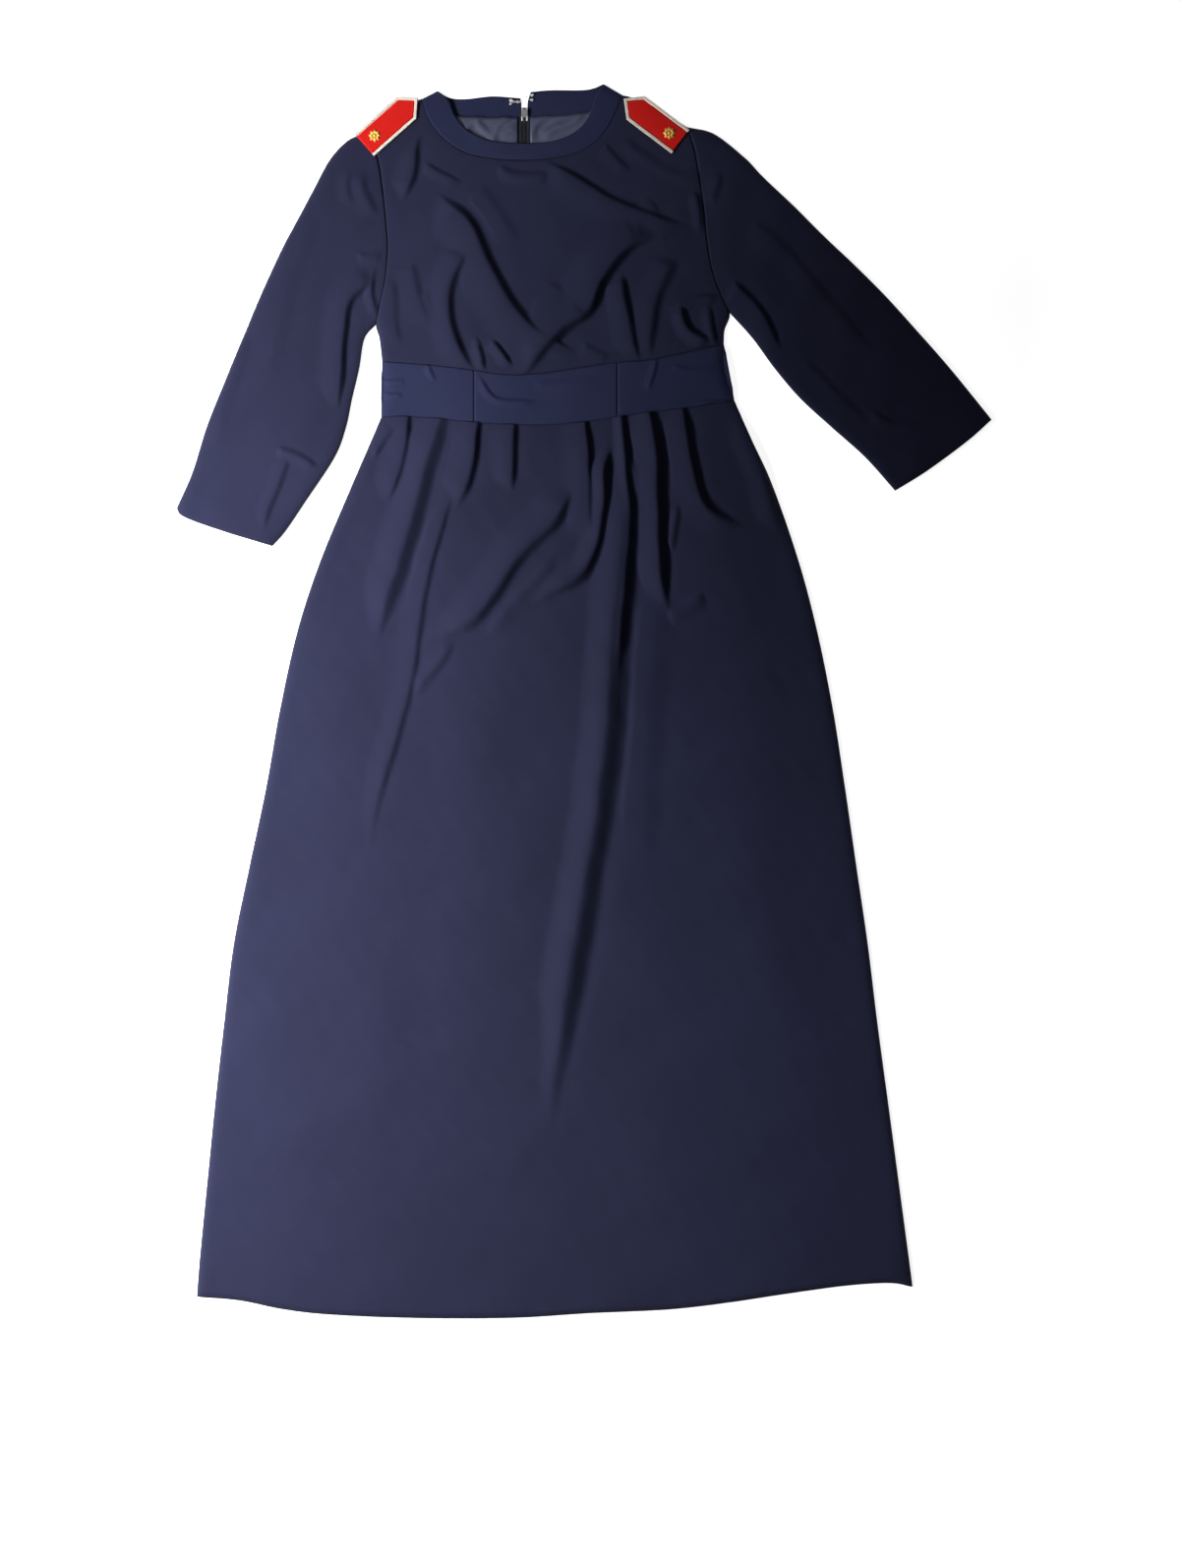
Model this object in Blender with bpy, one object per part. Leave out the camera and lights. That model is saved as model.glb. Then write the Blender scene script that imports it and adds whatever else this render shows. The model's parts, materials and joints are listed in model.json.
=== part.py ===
"""A navy mess dress laid out on its back: bodice, waistband, pleated skirt, three-quarter sleeves,
faced neckband, centre back zip and a pair of red shoulder boards.

The tables are in millimetres. X runs to the viewer's right, Y from the hem to the neck, Z up, and the
origin is under the middle of the dress. Left and right in the names are the wearer's, so the right
sleeve lies at -X. Every cloth piece is a closed wall: the back lies flat on the ground, and the front
lies on it with its pleats and drapes.
"""

import bpy
import numpy as np

MM = 0.001

# Thicknesses and heights
CLOTH = 1.2
LINING = 1.0
BAND = 1.8
SEAM_GAP = 0.6
LAYER_GAP = 0.3
FRONT_EDGE = CLOTH + LAYER_GAP
FRONT_LEVEL = 3.6
EDGE_TURN = 14.0
LINING_LEVEL = CLOTH + LAYER_GAP

# The zip at the centre back, and the hooks above it
CENTRE_BACK = -68.0
ZIP_TOP = 663.0
ZIP_END = 120.0
COIL_HALF = 2.2
TAPE_INNER = 2.6
TAPE_OUTER = 5.8
SLIT_HALF = 3.4
NOTCH_HALF = 7.0
COIL_LEVEL = 1.6
COIL_THICK = 1.5
SLIDER = {"half_width": 3.6, "length": 9.0, "low": 1.7, "high": 4.4}
PULL = {"length": 21.0, "half_width": 2.4, "neck_half": 1.9, "low": 0.3, "thick": 0.9}
PIVOT_AHEAD = 2.0
PIVOT_LEVEL = 1.1
PIN_RADIUS = 0.3
KNUCKLE_BORE = 0.62
KNUCKLE_RADIUS = 1.0
EAR_THICK = 0.8
WIRE_RADIUS = 0.5

# Shoulder boards: card covered in cloth, an edging on three sides and a round gilt rosette
BOARD_LENGTH = 81.0
BOARD_WIDTH = 34.0
BOARD_POINT = 17.0
BOARD_PRESS = (29.0, 16.0)
BOARD_THICK = 2.2
EDGING_WIDTH = 3.8
EDGING_RISE = 0.7
ROSETTE_RADIUS = 6.2
ROSETTE_PETALS = 8
ROSETTE_SCALLOP = 0.12
# share of the radius and height of each ring, from the base to the middle
ROSETTE_RINGS = ((1.0, 0.0), (1.0, 0.8), (0.72, 1.8), (0.34, 1.5), (0.30, 2.2), (0.12, 2.5))

# Grid divisions of the cloth pieces
SHOULDER_STEPS = 5
NECK_STEPS = 22
ARMHOLE_STEPS = 15
SIDE_STEPS = 4
SLEEVE_STEPS = 18
SKIRT_COLUMNS = 46
SKIRT_ROWS = 26

COLOURS = {
    "navy_cloth": (0.030, 0.032, 0.062, 1),
    "navy_band": (0.034, 0.037, 0.085, 1),
    "navy_lining": (0.070, 0.072, 0.115, 1),
    "zip_tape": (0.016, 0.018, 0.032, 1),
    "nickel": (0.620, 0.600, 0.560, 1),
    "board_red": (0.640, 0.012, 0.010, 1),
    "edging_white": (0.780, 0.720, 0.660, 1),
    "gilt": (0.800, 0.500, 0.160, 1),
}
METALS = ("nickel", "gilt")

# Outlines, each from the top down or from the viewer's left to right
NECK_RIM = (
    (-167, 694), (-154, 683), (-147, 666), (-134, 650), (-114, 639), (-92, 635), (-68, 634),
    (-43, 635), (-21, 641), (-4, 652), (7, 668), (12, 685), (22, 702),
)
NECK_SEAM = (
    (-184, 685), (-177, 663), (-161, 641), (-136, 624), (-105, 617), (-72, 615),
    (-38, 617), (-6, 624), (18, 640), (34, 664), (44, 689),
)
SHOULDERS = {
    "right": ((-252, 646), (-216, 671), (-184, 685)),
    "left": ((44, 689), (80, 676), (117, 653)),
}
ARMHOLES = {
    "right": (
        (-252, 646), (-236, 622), (-229, 585), (-225, 546), (-223, 514), (-226, 480), (-232, 452),
        (-237, 428),
    ),
    "left": (
        (117, 653), (126, 626), (132, 591), (137, 557), (140, 524), (146, 490), (156, 462), (166, 441),
    ),
}
SIDES = {
    "right": ((-237, 428), (-233, 412), (-230, 386)),
    "left": ((166, 441), (160, 422), (159, 406)),
}
BAND_TOP = (
    (-230, 386), (-175, 382), (-125, 376), (-88, 371), (-45, 373), (-4, 379), (38, 385), (76, 388),
    (119, 397), (159, 406),
)
BAND_ENDS = {
    "right": ((-230, 386), (-228, 358), (-231, 323)),
    "left": ((159, 406), (160, 376), (171, 342)),
}
WAIST = (
    (-231, 323), (-197, 323), (-157, 320), (-118, 316), (-78, 314), (-38, 314), (2, 317), (41, 323),
    (76, 328), (112, 332), (141, 337), (171, 342),
)
BAND_SEAMS = {"right": -125, "left": 38}
SKIRT_SIDES = {
    "right": (
        (-231, 323), (-242, 297), (-265, 244), (-300, 160), (-326, 81), (-346, -8), (-362, -98),
        (-381, -188), (-399, -277), (-410, -367), (-420, -456), (-429, -546), (-437, -628), (-441, -678),
    ),
    "left": (
        (171, 342), (192, 294), (215, 244), (244, 160), (265, 81), (283, -8), (297, -98), (310, -188),
        (323, -277), (334, -367), (346, -456), (358, -546), (370, -636), (374, -667),
    ),
}
HEM = (
    (-441, -678), (-391, -682), (-340, -692), (-284, -698), (-172, -702), (-72, -701), (7, -696),
    (96, -692), (164, -684), (231, -674), (298, -665), (348, -662), (374, -667),
)
SLEEVE_OUTER = {
    "right": (
        (-252, 646), (-271, 636), (-290, 615), (-309, 580), (-327, 546), (-345, 512), (-368, 462),
        (-389, 412), (-410, 361), (-430, 311), (-446, 260), (-464, 219),
    ),
    "left": (
        (117, 653), (148, 645), (183, 618), (204, 596), (239, 563), (273, 529), (308, 496), (342, 462),
        (373, 428), (417, 378), (464, 320),
    ),
}
SLEEVE_INNER = {
    "right": (
        (-237, 428), (-250, 412), (-256, 378), (-264, 344), (-271, 311), (-284, 277), (-317, 227),
        (-340, 193), (-355, 176),
    ),
    "left": ((166, 441), (192, 412), (217, 378), (246, 344), (282, 311), (320, 277), (354, 239)),
}
CUFFS = {
    "right": ((-464, 219), (-455, 209), (-411, 193), (-355, 176)),
    "left": ((464, 320), (437, 296), (391, 262), (354, 239)),
}
BACK_NECK = {
    "right": ((-167, 694), (-152, 686), (-133, 685), (-105, 688), (-74, 686)),
    "left": ((-61, 693), (-38, 695), (-4, 695), (10, 697), (22, 702)),
}
BACK_NECK_SEAM = {
    "right": ((-184, 685), (-172, 674), (-147, 666), (-110, 664), (-71.4, 664)),
    "left": ((-64.6, 664), (-20, 667), (8, 671), (28, 679), (44, 689)),
}
CENTRE_BACK_LINE = ((CENTRE_BACK, 700), (CENTRE_BACK, 560), (-52, 330), (-34, -700))
BOARDS = {
    "right": {"end": (-249, 632), "tip": (-189, 685)},
    "left": {"end": (111, 634), "tip": (45, 684)},
}

# Folds: the crest runs down the path, and the cloth drops off on the walker's left.
# name, height, width of the gentle side, width of the steep side, share of the height at the start, path
BODICE_FOLDS = (
    ("right drape", 7.0, 30, 10, 0.0, ((-164, 576), (-131, 549), (-106, 503), (-82, 453), (-35, 413))),
    ("left drape", 8.0, 32, 8, 0.0, ((77, 521), (55, 516), (24, 479), (6, 441), (-26, 416), (-57, 381))),
    ("neck pull", 4.5, 20, 5, 0.2, ((-38, 612), (11, 584), (62, 559), (118, 540))),
    ("right bust", 6.0, 22, 8, 0.0, ((-129, 509), (-147, 478), (-150, 441), (-138, 397), (-124, 376))),
    ("right shoulder", 4.5, 18, 7, 0.1, ((-186, 650), (-190, 630), (-194, 590), (-203, 570))),
    ("left bust", 5.5, 20, 8, 0.0, ((46, 481), (53, 435), (62, 390))),
    ("left side", 4.5, 22, 12, 0.0, ((105, 497), (87, 460), (78, 416), (77, 392))),
    ("left underarm", 4.5, 14, 7, 0.2, ((112, 448), (120, 424), (146, 410))),
)
SKIRT_FOLDS = (
    ("pleat 1", 5.0, 24, 6, 0.5, ((-197, 322), (-204, 274), (-222, 225))),
    ("pleat 2", 8.0, 28, 11, 0.4, ((-157, 320), (-175, 260), (-190, 202), (-208, 146), (-230, 70))),
    ("pleat 3", 6.5, 26, 8, 0.5, ((-118, 316), (-123, 277), (-131, 244), (-146, 224))),
    ("pressed crease", 4.0, 20, 10, 0.0, ((-149, 237), (-177, 132), (-198, 6), (-233, -120), (-243, -170))),
    ("pleat 4", 5.5, 24, 9, 0.6, ((-78, 314), (-78, 278), (-82, 240))),
    ("pleat 5", 6.5, 30, 7, 0.6, ((3, 317), (7, 272), (9, 216), (12, 180))),
    ("swag", 8.5, 26, 10, 0.0, ((-12, 240), (-30, 202), (-72, 160), (-100, 118), (-128, 86), (-166, 72))),
    ("hook fold", 8.0, 16, 9, 0.2, ((32, 295), (20, 249), (24, 209), (18, 166), (0, 138), (-42, 118))),
    ("pleat 6", 11.0, 22, 16, 0.5, (
        (43, 323), (50, 272), (53, 188), (43, 81), (34, -53), (12, -204), (-11, -333), (-34, -480),
    )),
    ("pleat 7", 10.0, 24, 11, 0.5, ((76, 328), (86, 283), (87, 216), (92, 137), (97, 96))),
    ("pleat 7 run", 3.5, 26, 24, 0.0, ((98, 130), (90, 60), (84, -22), (76, -180))),
    ("pleat 8", 8.0, 24, 9, 0.5, ((114, 332), (121, 286), (131, 244), (146, 218), (184, 197))),
    ("left edge fold", 3.5, 18, 12, 0.2, ((182, 318), (206, 265), (224, 190))),
)
SLEEVE_FOLDS = {
    "right": (
        ("inner crease", 4.0, 20, 9, 0.0, ((-231, 478), (-262, 455), (-271, 416), (-275, 360), (-279, 332))),
        ("elbow crease", 3.0, 14, 7, 0.0, ((-300, 282), (-325, 280), (-345, 290))),
    ),
    "left": (
        ("inner crease", 4.0, 18, 8, 0.0, ((170, 478), (198, 447), (222, 402))),
    ),
}


def arc_run(line):
    """Distance along a polyline at each of its points."""
    steps = np.linalg.norm(np.diff(line, axis=0), axis=1)
    return np.concatenate([[0.0], np.cumsum(steps)])


def smooth_line(points, count):
    """Evenly spaced points on the Catmull-Rom curve through the given ones."""
    given = np.array(points, float)
    padded = np.vstack([2 * given[0] - given[1], given, 2 * given[-1] - given[-2]])
    t = np.linspace(0, 1, 20, endpoint=False)[:, None]
    spans = []
    for a, b, c, d in zip(padded, padded[1:], padded[2:], padded[3:]):
        cubic = 2 * b + (c - a) * t + (2 * a - 5 * b + 4 * c - d) * t**2 + (3 * b - a - 3 * c + d) * t**3
        spans.append(cubic / 2)
    fine = np.vstack([*spans, given[-1:]])
    run = arc_run(fine)
    at = np.linspace(0, run[-1], count)
    return np.column_stack([np.interp(at, run, fine[:, k]) for k in range(2)])


def shifted(line, distance):
    """The line moved sideways, to the walker's left when distance is positive."""
    along = np.gradient(line, axis=0)
    along /= np.linalg.norm(along, axis=1, keepdims=True)
    return line + distance * np.column_stack([-along[:, 1], along[:, 0]])


def nearest_on(line, x, y):
    """Distance to a polyline, the share of its length where it is nearest, and +1 on the walker's left."""
    run = arc_run(line)
    best = np.full(x.shape, np.inf)
    share = np.zeros(x.shape)
    side = np.ones(x.shape)
    for k in range(len(line) - 1):
        (ax, ay), (bx, by) = line[k], line[k + 1]
        dx, dy = bx - ax, by - ay
        t = np.clip(((x - ax) * dx + (y - ay) * dy) / (dx * dx + dy * dy), 0, 1)
        gap = np.hypot(x - ax - t * dx, y - ay - t * dy)
        closer = gap < best
        best = np.where(closer, gap, best)
        share = np.where(closer, (run[k] + t * (run[k + 1] - run[k])) / run[-1], share)
        turn = dx * (y - ay) - dy * (x - ax)
        side = np.where(closer, np.where(turn >= 0, 1.0, -1.0), side)
    return best, share, side


def ease(t):
    """0 to 1 with a level start and end."""
    t = np.clip(t, 0, 1)
    return t * t * (3 - 2 * t)


def fold_height(folds, x, y):
    """Height of the folds at each point. They blend as a cubic mean, so close crests stay apart."""
    total = np.zeros(x.shape)
    for _, height, gentle, steep, start, path in folds:
        gap, share, side = nearest_on(smooth_line(path, 24), x, y)
        across = side * gap + steep / 2
        profile = np.where(across < 0, ease(1 + across / gentle), ease(1 - across / steep))
        taper = (start + (1 - start) * ease(share / 0.16)) * ease((1 - share) / 0.4)
        total += (height * profile * taper) ** 3
    return np.cbrt(total)


def clear_of_boards(x, y):
    """0 under the shoulder boards, where the cloth lies flat, and 1 well away from them."""
    clear = np.ones(x.shape)
    for board in BOARDS.values():
        gap = nearest_on(np.array([board["end"], board["tip"]], float), x, y)[0]
        clear = np.minimum(clear, ease((gap - BOARD_PRESS[0]) / BOARD_PRESS[1]))
    return clear


def rounded_rise(distance):
    """0 at an edge and 1 beyond the turn, along a quarter circle."""
    t = np.clip(distance / EDGE_TURN, 0, 1)
    return np.sqrt(1 - (1 - t) ** 2)


def front_level(x, y, edges, folds):
    """Underside of a front piece: low along the edges where it meets the back, level inside, plus folds."""
    gap = np.full(x.shape, np.inf)
    for edge in edges:
        gap = np.minimum(gap, nearest_on(smooth_line(edge, 40), x, y)[0])
    lift = fold_height(folds, x, y) * clear_of_boards(x, y) if folds else 0
    return FRONT_EDGE + (FRONT_LEVEL - FRONT_EDGE) * rounded_rise(gap) + lift


def patch(top, bottom, left, right, hold=1):
    """Grid between four border lines: rows follow left and right, columns follow top and bottom.
    Columns run straight from top to bottom, and are pulled to the side borders. A larger hold keeps that
    pull nearer to them, which a deep neckline needs."""
    top, bottom = top.copy(), bottom.copy()
    top[0], top[-1], bottom[0], bottom[-1] = left[0], right[0], left[-1], right[-1]
    u = np.linspace(0, 1, len(top))[None, :, None]
    v = (arc_run(left) / arc_run(left)[-1] + arc_run(right) / arc_run(right)[-1])[:, None, None] / 2
    ruled = (1 - v) * top[None] + v * bottom[None]
    off_left = left[:, None] - ruled[:, :1]
    off_right = right[:, None] - ruled[:, -1:]
    return ruled + (1 - u) ** hold * off_left + u**hold * off_right


def material(name):
    made = bpy.data.materials.get(name)
    if made is None:
        made = bpy.data.materials.new(name)
        made.use_nodes = True
        shader = made.node_tree.nodes["Principled BSDF"]
        shader.inputs["Base Color"].default_value = COLOURS[name]
        shader.inputs["Roughness"].default_value = 0.35 if name in METALS else 0.75
        shader.inputs["Metallic"].default_value = 1.0 if name in METALS else 0.0
    return made


def add_solid(name, points, faces, finish):
    """A closed mesh object from points in millimetres."""
    mesh = bpy.data.meshes.new(name)
    mesh.from_pydata((np.asarray(points, float) * MM).tolist(), [], faces)
    mesh.materials.append(material(finish))
    made = bpy.data.objects.new(name, mesh)
    bpy.context.scene.collection.objects.link(made)
    return made


def grid_quads(rows, columns, first, up):
    """Faces of a grid of points, wound to face up or down."""
    quads = []
    for i in range(rows - 1):
        for j in range(columns - 1):
            a = first + i * columns + j
            b, c, d = a + 1, a + columns + 1, a + columns
            quads.append((d, c, b, a) if up else (a, b, c, d))
    return quads


def grid_border(rows, columns):
    """Indices round the rim of a grid, clockwise seen from above for rows that run down the dress."""
    top = list(range(columns))
    right = [i * columns + columns - 1 for i in range(1, rows)]
    bottom = [(rows - 1) * columns + j for j in range(columns - 2, -1, -1)]
    left = [i * columns for i in range(rows - 2, 0, -1)]
    return top + right + bottom + left


def cloth_wall(name, grid, level, thickness, finish):
    """A sheet of cloth as a wall: its underside at level, and its outer side moved out along the normals.
    Round its rim it goes straight up, so that two pieces keep their gap along a seam."""
    rows, columns = level.shape
    under = np.dstack([grid, level])
    normal = np.cross(np.gradient(under, axis=1), np.gradient(under, axis=0))
    normal *= np.where(normal[..., 2:] < 0, -1, 1) / np.linalg.norm(normal, axis=2, keepdims=True)
    for border in (normal[0], normal[-1], normal[:, 0], normal[:, -1]):
        border[:] = (0, 0, 1)
    over = under + thickness * normal
    count = rows * columns
    points = np.vstack([under.reshape(-1, 3), over.reshape(-1, 3)])
    faces = grid_quads(rows, columns, 0, False) + grid_quads(rows, columns, count, True)
    rim = grid_border(rows, columns)
    for a, b in zip(rim, rim[1:] + rim[:1]):
        faces.append((b, a, count + a, count + b))
    return facing_out(add_solid(name, points, faces, finish))


def facing_out(made):
    """Turns the solid's faces outwards if its signed volume says that they point in."""
    mesh = made.data
    mesh.calc_loop_triangles()
    at = np.array([v.co for v in mesh.vertices])
    corners = at[np.array([t.vertices for t in mesh.loop_triangles])]
    if np.einsum("ij,ij->i", corners[:, 0], np.cross(corners[:, 1], corners[:, 2])).sum() < 0:
        mesh.flip_normals()
    return made


def plate(name, outline, low, high, finish):
    """A flat piece: an outline stood up from one height to another."""
    outline = np.asarray(outline, float)
    count = len(outline)
    points = np.vstack([np.column_stack([outline, np.full(count, z)]) for z in (low, high)])
    faces = [tuple(range(count)), tuple(range(2 * count - 1, count - 1, -1))]
    for k in range(count):
        n = (k + 1) % count
        faces.append((k, count + k, count + n, n))
    return facing_out(add_solid(name, points, faces, finish))


def flat_tube(name, grid, height, wall, finish):
    """A sleeve lying flat: its lower layer on the ground, its upper layer at height, open at both ends.
    Rows run along the sleeve and columns across it."""
    rows, columns = height.shape
    inner = grid.copy()
    for edge, inward in ((0, 1), (-1, -2)):
        step = grid[:, inward] - grid[:, edge]
        inner[:, edge] += wall * step / np.linalg.norm(step, axis=1, keepdims=True)
    count = rows * columns
    rim = grid_border(rows, columns)
    edge = len(rim)
    points = [
        np.dstack([grid, height]).reshape(-1, 3),
        np.dstack([inner, height - wall]).reshape(-1, 3),
        np.column_stack([grid.reshape(-1, 2)[rim], np.zeros(edge)]),
        np.column_stack([inner.reshape(-1, 2)[rim], np.full(edge, wall)]),
    ]
    outer_floor, inner_floor = 2 * count, 2 * count + edge
    faces = grid_quads(rows, columns, 0, True) + grid_quads(rows, columns, count, False)
    faces.append(tuple(range(outer_floor, outer_floor + edge)))
    faces.append(tuple(range(inner_floor + edge - 1, inner_floor - 1, -1)))
    for k, a in enumerate(rim):
        n = (k + 1) % edge
        b = rim[n]
        on_top = a < columns and b < columns
        on_bottom = a >= count - columns and b >= count - columns
        if on_top or on_bottom:
            faces.append((a, b, count + b, count + a))
            faces.append((outer_floor + n, outer_floor + k, inner_floor + k, inner_floor + n))
        else:
            faces.append((a, b, outer_floor + n, outer_floor + k))
            faces.append((count + b, count + a, inner_floor + k, inner_floor + n))
    mouth_corners = (0, columns - 1, columns + rows - 2, 2 * columns + rows - 3)
    for place, k in enumerate(mouth_corners):
        ring = (rim[k], count + rim[k], inner_floor + k, outer_floor + k)
        faces.append(ring if place % 2 == 0 else ring[::-1])
    return facing_out(add_solid(name, np.vstack(points), faces, finish))


def block(name, low, high, finish):
    """A box between two corners."""
    (x0, y0, z0), (x1, y1, z1) = low, high
    return plate(name, ((x0, y0), (x1, y0), (x1, y1), (x0, y1)), z0, z1, finish)


def combine(base, tools, operation):
    """Joins the tools to the base, or cuts them from it, and keeps them out of the render."""
    for tool in tools:
        step = base.modifiers.new(operation.lower(), "BOOLEAN")
        step.operation = operation
        step.object = tool
        tool.hide_render = True
        tool.display_type = "WIRE"
    return base


def side_stations(side):
    """The armhole and side seam of one side, from the shoulder to the waistband."""
    armhole = smooth_line(ARMHOLES[side], ARMHOLE_STEPS + 1)
    seam = smooth_line(SIDES[side], SIDE_STEPS + 1)
    return armhole, seam


def line_x(line, y):
    """Where a line that runs down the dress crosses a height."""
    line = np.array(line, float)
    return float(np.interp(-y, -line[:, 1], line[:, 0]))


def spread(values, count):
    """Evenly spaced numbers between two values."""
    return np.linspace(values[0], values[1], count)


BODICE_EDGES = (SHOULDERS["right"], SHOULDERS["left"], SIDES["right"], SIDES["left"])
SKIRT_EDGES = (SKIRT_SIDES["right"], SKIRT_SIDES["left"])
BAND_EDGES = (BAND_ENDS["right"], BAND_ENDS["left"])
HALF_GAP = SEAM_GAP / 2


def bodice_front():
    """The front from the neckband seam to the waistband, with its drapes."""
    shoulder_r = smooth_line(SHOULDERS["right"], SHOULDER_STEPS + 1)
    neck = shifted(smooth_line(NECK_SEAM, NECK_STEPS + 1), -HALF_GAP)
    shoulder_l = smooth_line(SHOULDERS["left"], SHOULDER_STEPS + 1)
    top = np.vstack([shoulder_r[:-1], neck, shoulder_l[1:]])
    bottom = shifted(smooth_line(BAND_TOP, len(top)), HALF_GAP)
    borders = []
    for side, inward in (("right", HALF_GAP), ("left", -HALF_GAP)):
        armhole, seam = side_stations(side)
        borders.append(np.vstack([shifted(armhole, inward)[:-1], seam]))
    left, right = borders
    left[-1], right[-1] = bottom[0], bottom[-1]
    grid = patch(top, bottom, left, right, hold=6)
    level = front_level(grid[..., 0], grid[..., 1], BODICE_EDGES, BODICE_FOLDS)
    cloth_wall("bodice_front", grid, level, CLOTH, "navy_cloth")


def neckband_front():
    """The faced band round the front of the neck."""
    rim = smooth_line(NECK_RIM, NECK_STEPS + 1)
    seam = shifted(smooth_line(NECK_SEAM, NECK_STEPS + 1), HALF_GAP)
    across = np.linspace(0, 1, 4)[:, None, None]
    grid = (1 - across) * rim[None] + across * seam[None]
    ends = ((NECK_RIM[0], NECK_SEAM[0]), (NECK_SEAM[-1], NECK_RIM[-1]))
    level = front_level(grid[..., 0], grid[..., 1], ends, ())
    cloth_wall("neckband_front", grid, level, BAND, "navy_band")


def waistband_front():
    """Three pieces of the band, parted at its two upright seams."""
    parts = (
        ("right", -231, BAND_SEAMS["right"], 9),
        ("centre", BAND_SEAMS["right"], BAND_SEAMS["left"], 12),
        ("left", BAND_SEAMS["left"], 171, 11),
    )
    rows = 5
    top_line, waist_line = smooth_line(BAND_TOP, 200), smooth_line(WAIST, 200)
    for name, start, stop, columns in parts:
        borders = []
        for line, inset in ((top_line, -HALF_GAP), (waist_line, HALF_GAP)):
            low, high = max(start, line[0, 0]), min(stop, line[-1, 0])
            low += HALF_GAP if start > -231 else 0
            high -= HALF_GAP if stop < 171 else 0
            x = spread((low, high), columns)
            borders.append(np.column_stack([x, np.interp(x, line[:, 0], line[:, 1]) + inset]))
        top, bottom = borders
        left = np.linspace(top[0], bottom[0], rows)
        right = np.linspace(top[-1], bottom[-1], rows)
        grid = patch(top, bottom, left, right)
        level = front_level(grid[..., 0], grid[..., 1], BAND_EDGES, ())
        cloth_wall(f"waistband_front_{name}", grid, level, BAND, "navy_band")


def skirt_front():
    """The pleated front of the skirt, from the waistband to the hem."""
    top = shifted(smooth_line(WAIST, SKIRT_COLUMNS + 1), -HALF_GAP)
    bottom = smooth_line(HEM, SKIRT_COLUMNS + 1)
    drop = np.linspace(0, 1, SKIRT_ROWS + 1) ** 1.35
    borders = []
    for side in ("right", "left"):
        fine = smooth_line(SKIRT_SIDES[side], 400)
        share = arc_run(fine) / arc_run(fine)[-1]
        borders.append(np.column_stack([np.interp(drop, share, fine[:, k]) for k in range(2)]))
    left, right = borders
    left[0], right[0] = top[0], top[-1]
    grid = patch(top, bottom, left, right)
    level = front_level(grid[..., 0], grid[..., 1], SKIRT_EDGES, SKIRT_FOLDS)
    cloth_wall("skirt_front", grid, level, CLOTH, "navy_cloth")


def sleeve(side):
    """A three-quarter sleeve, lying flat from the armhole to the cuff."""
    outward = -HALF_GAP if side == "right" else HALF_GAP
    armhole = shifted(smooth_line(ARMHOLES[side], ARMHOLE_STEPS + 1), outward)
    cuff = smooth_line(CUFFS[side], ARMHOLE_STEPS + 1)
    outer = smooth_line(SLEEVE_OUTER[side], SLEEVE_STEPS + 1)
    inner = smooth_line(SLEEVE_INNER[side], SLEEVE_STEPS + 1)
    outer[0], inner[0] = armhole[0], armhole[-1]
    grid = patch(armhole, cuff, outer, inner)
    edges = (SLEEVE_OUTER[side], SLEEVE_INNER[side])
    level = front_level(grid[..., 0], grid[..., 1], edges, SLEEVE_FOLDS[side])
    flat_tube(f"sleeve_{side}", grid, level + CLOTH, CLOTH, "navy_cloth")


def slit_half(y):
    """Half the width between the two back edges: a notch at the neck, a slit over the zip's slider and
    pull, and a closed seam below them."""
    notch = NOTCH_HALF + (SLIT_HALF - NOTCH_HALF) * ease((694 - y) / 14)
    return HALF_GAP + (notch - HALF_GAP) * (1 - ease((640 - y) / 40))


def centre_edge(side, high, low, count, clearance=0.0):
    """The centre back edge of a piece, from one height down to another."""
    sign = -1 if side == "right" else 1
    y = np.linspace(high, low, count)
    x = np.array([line_x(CENTRE_BACK_LINE, h) for h in y])
    half = np.maximum(slit_half(y), clearance)
    return np.column_stack([x + sign * half, y])


def loop_outline(side, top, outside, bottom, centre):
    """Joins the four edges of a back piece into one outline. On the left side they run the other way."""
    if side == "right":
        return np.vstack([top, centre[1:-1], bottom[::-1], outside[::-1][1:-1]])
    return np.vstack([top, outside[1:-1], bottom[::-1], centre[::-1][1:-1]])


def clipped(line, side, y_shift=0.0, clearance=0.0):
    """The part of a crosswise line on one side of the centre back, with a point on that edge."""
    line = np.array(line, float) + (0, y_shift)
    sign = -1 if side == "right" else 1
    edge = np.array([line_x(CENTRE_BACK_LINE, y) for y in line[:, 1]])
    half = np.maximum(slit_half(line[:, 1]), clearance)
    kept = line[sign * (line[:, 0] - edge) > half + 1]
    y_end = kept[-1, 1] if side == "right" else kept[0, 1]
    x_end = line_x(CENTRE_BACK_LINE, y_end) + sign * max(float(slit_half(y_end)), clearance)
    corner = np.array([[x_end, y_end]])
    return np.vstack([kept, corner]) if side == "right" else np.vstack([corner, kept])


def back_panel(name, side, top, outside, bottom, low, high, finish, clearance=0.0):
    """A flat back piece between two crosswise lines, an outer edge and the centre back."""
    corner = -1 if side == "right" else 0
    centre = centre_edge(side, top[corner, 1], bottom[corner, 1], 14, clearance)
    plate(name, loop_outline(side, top, outside, bottom, centre), low, high, finish)


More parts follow.
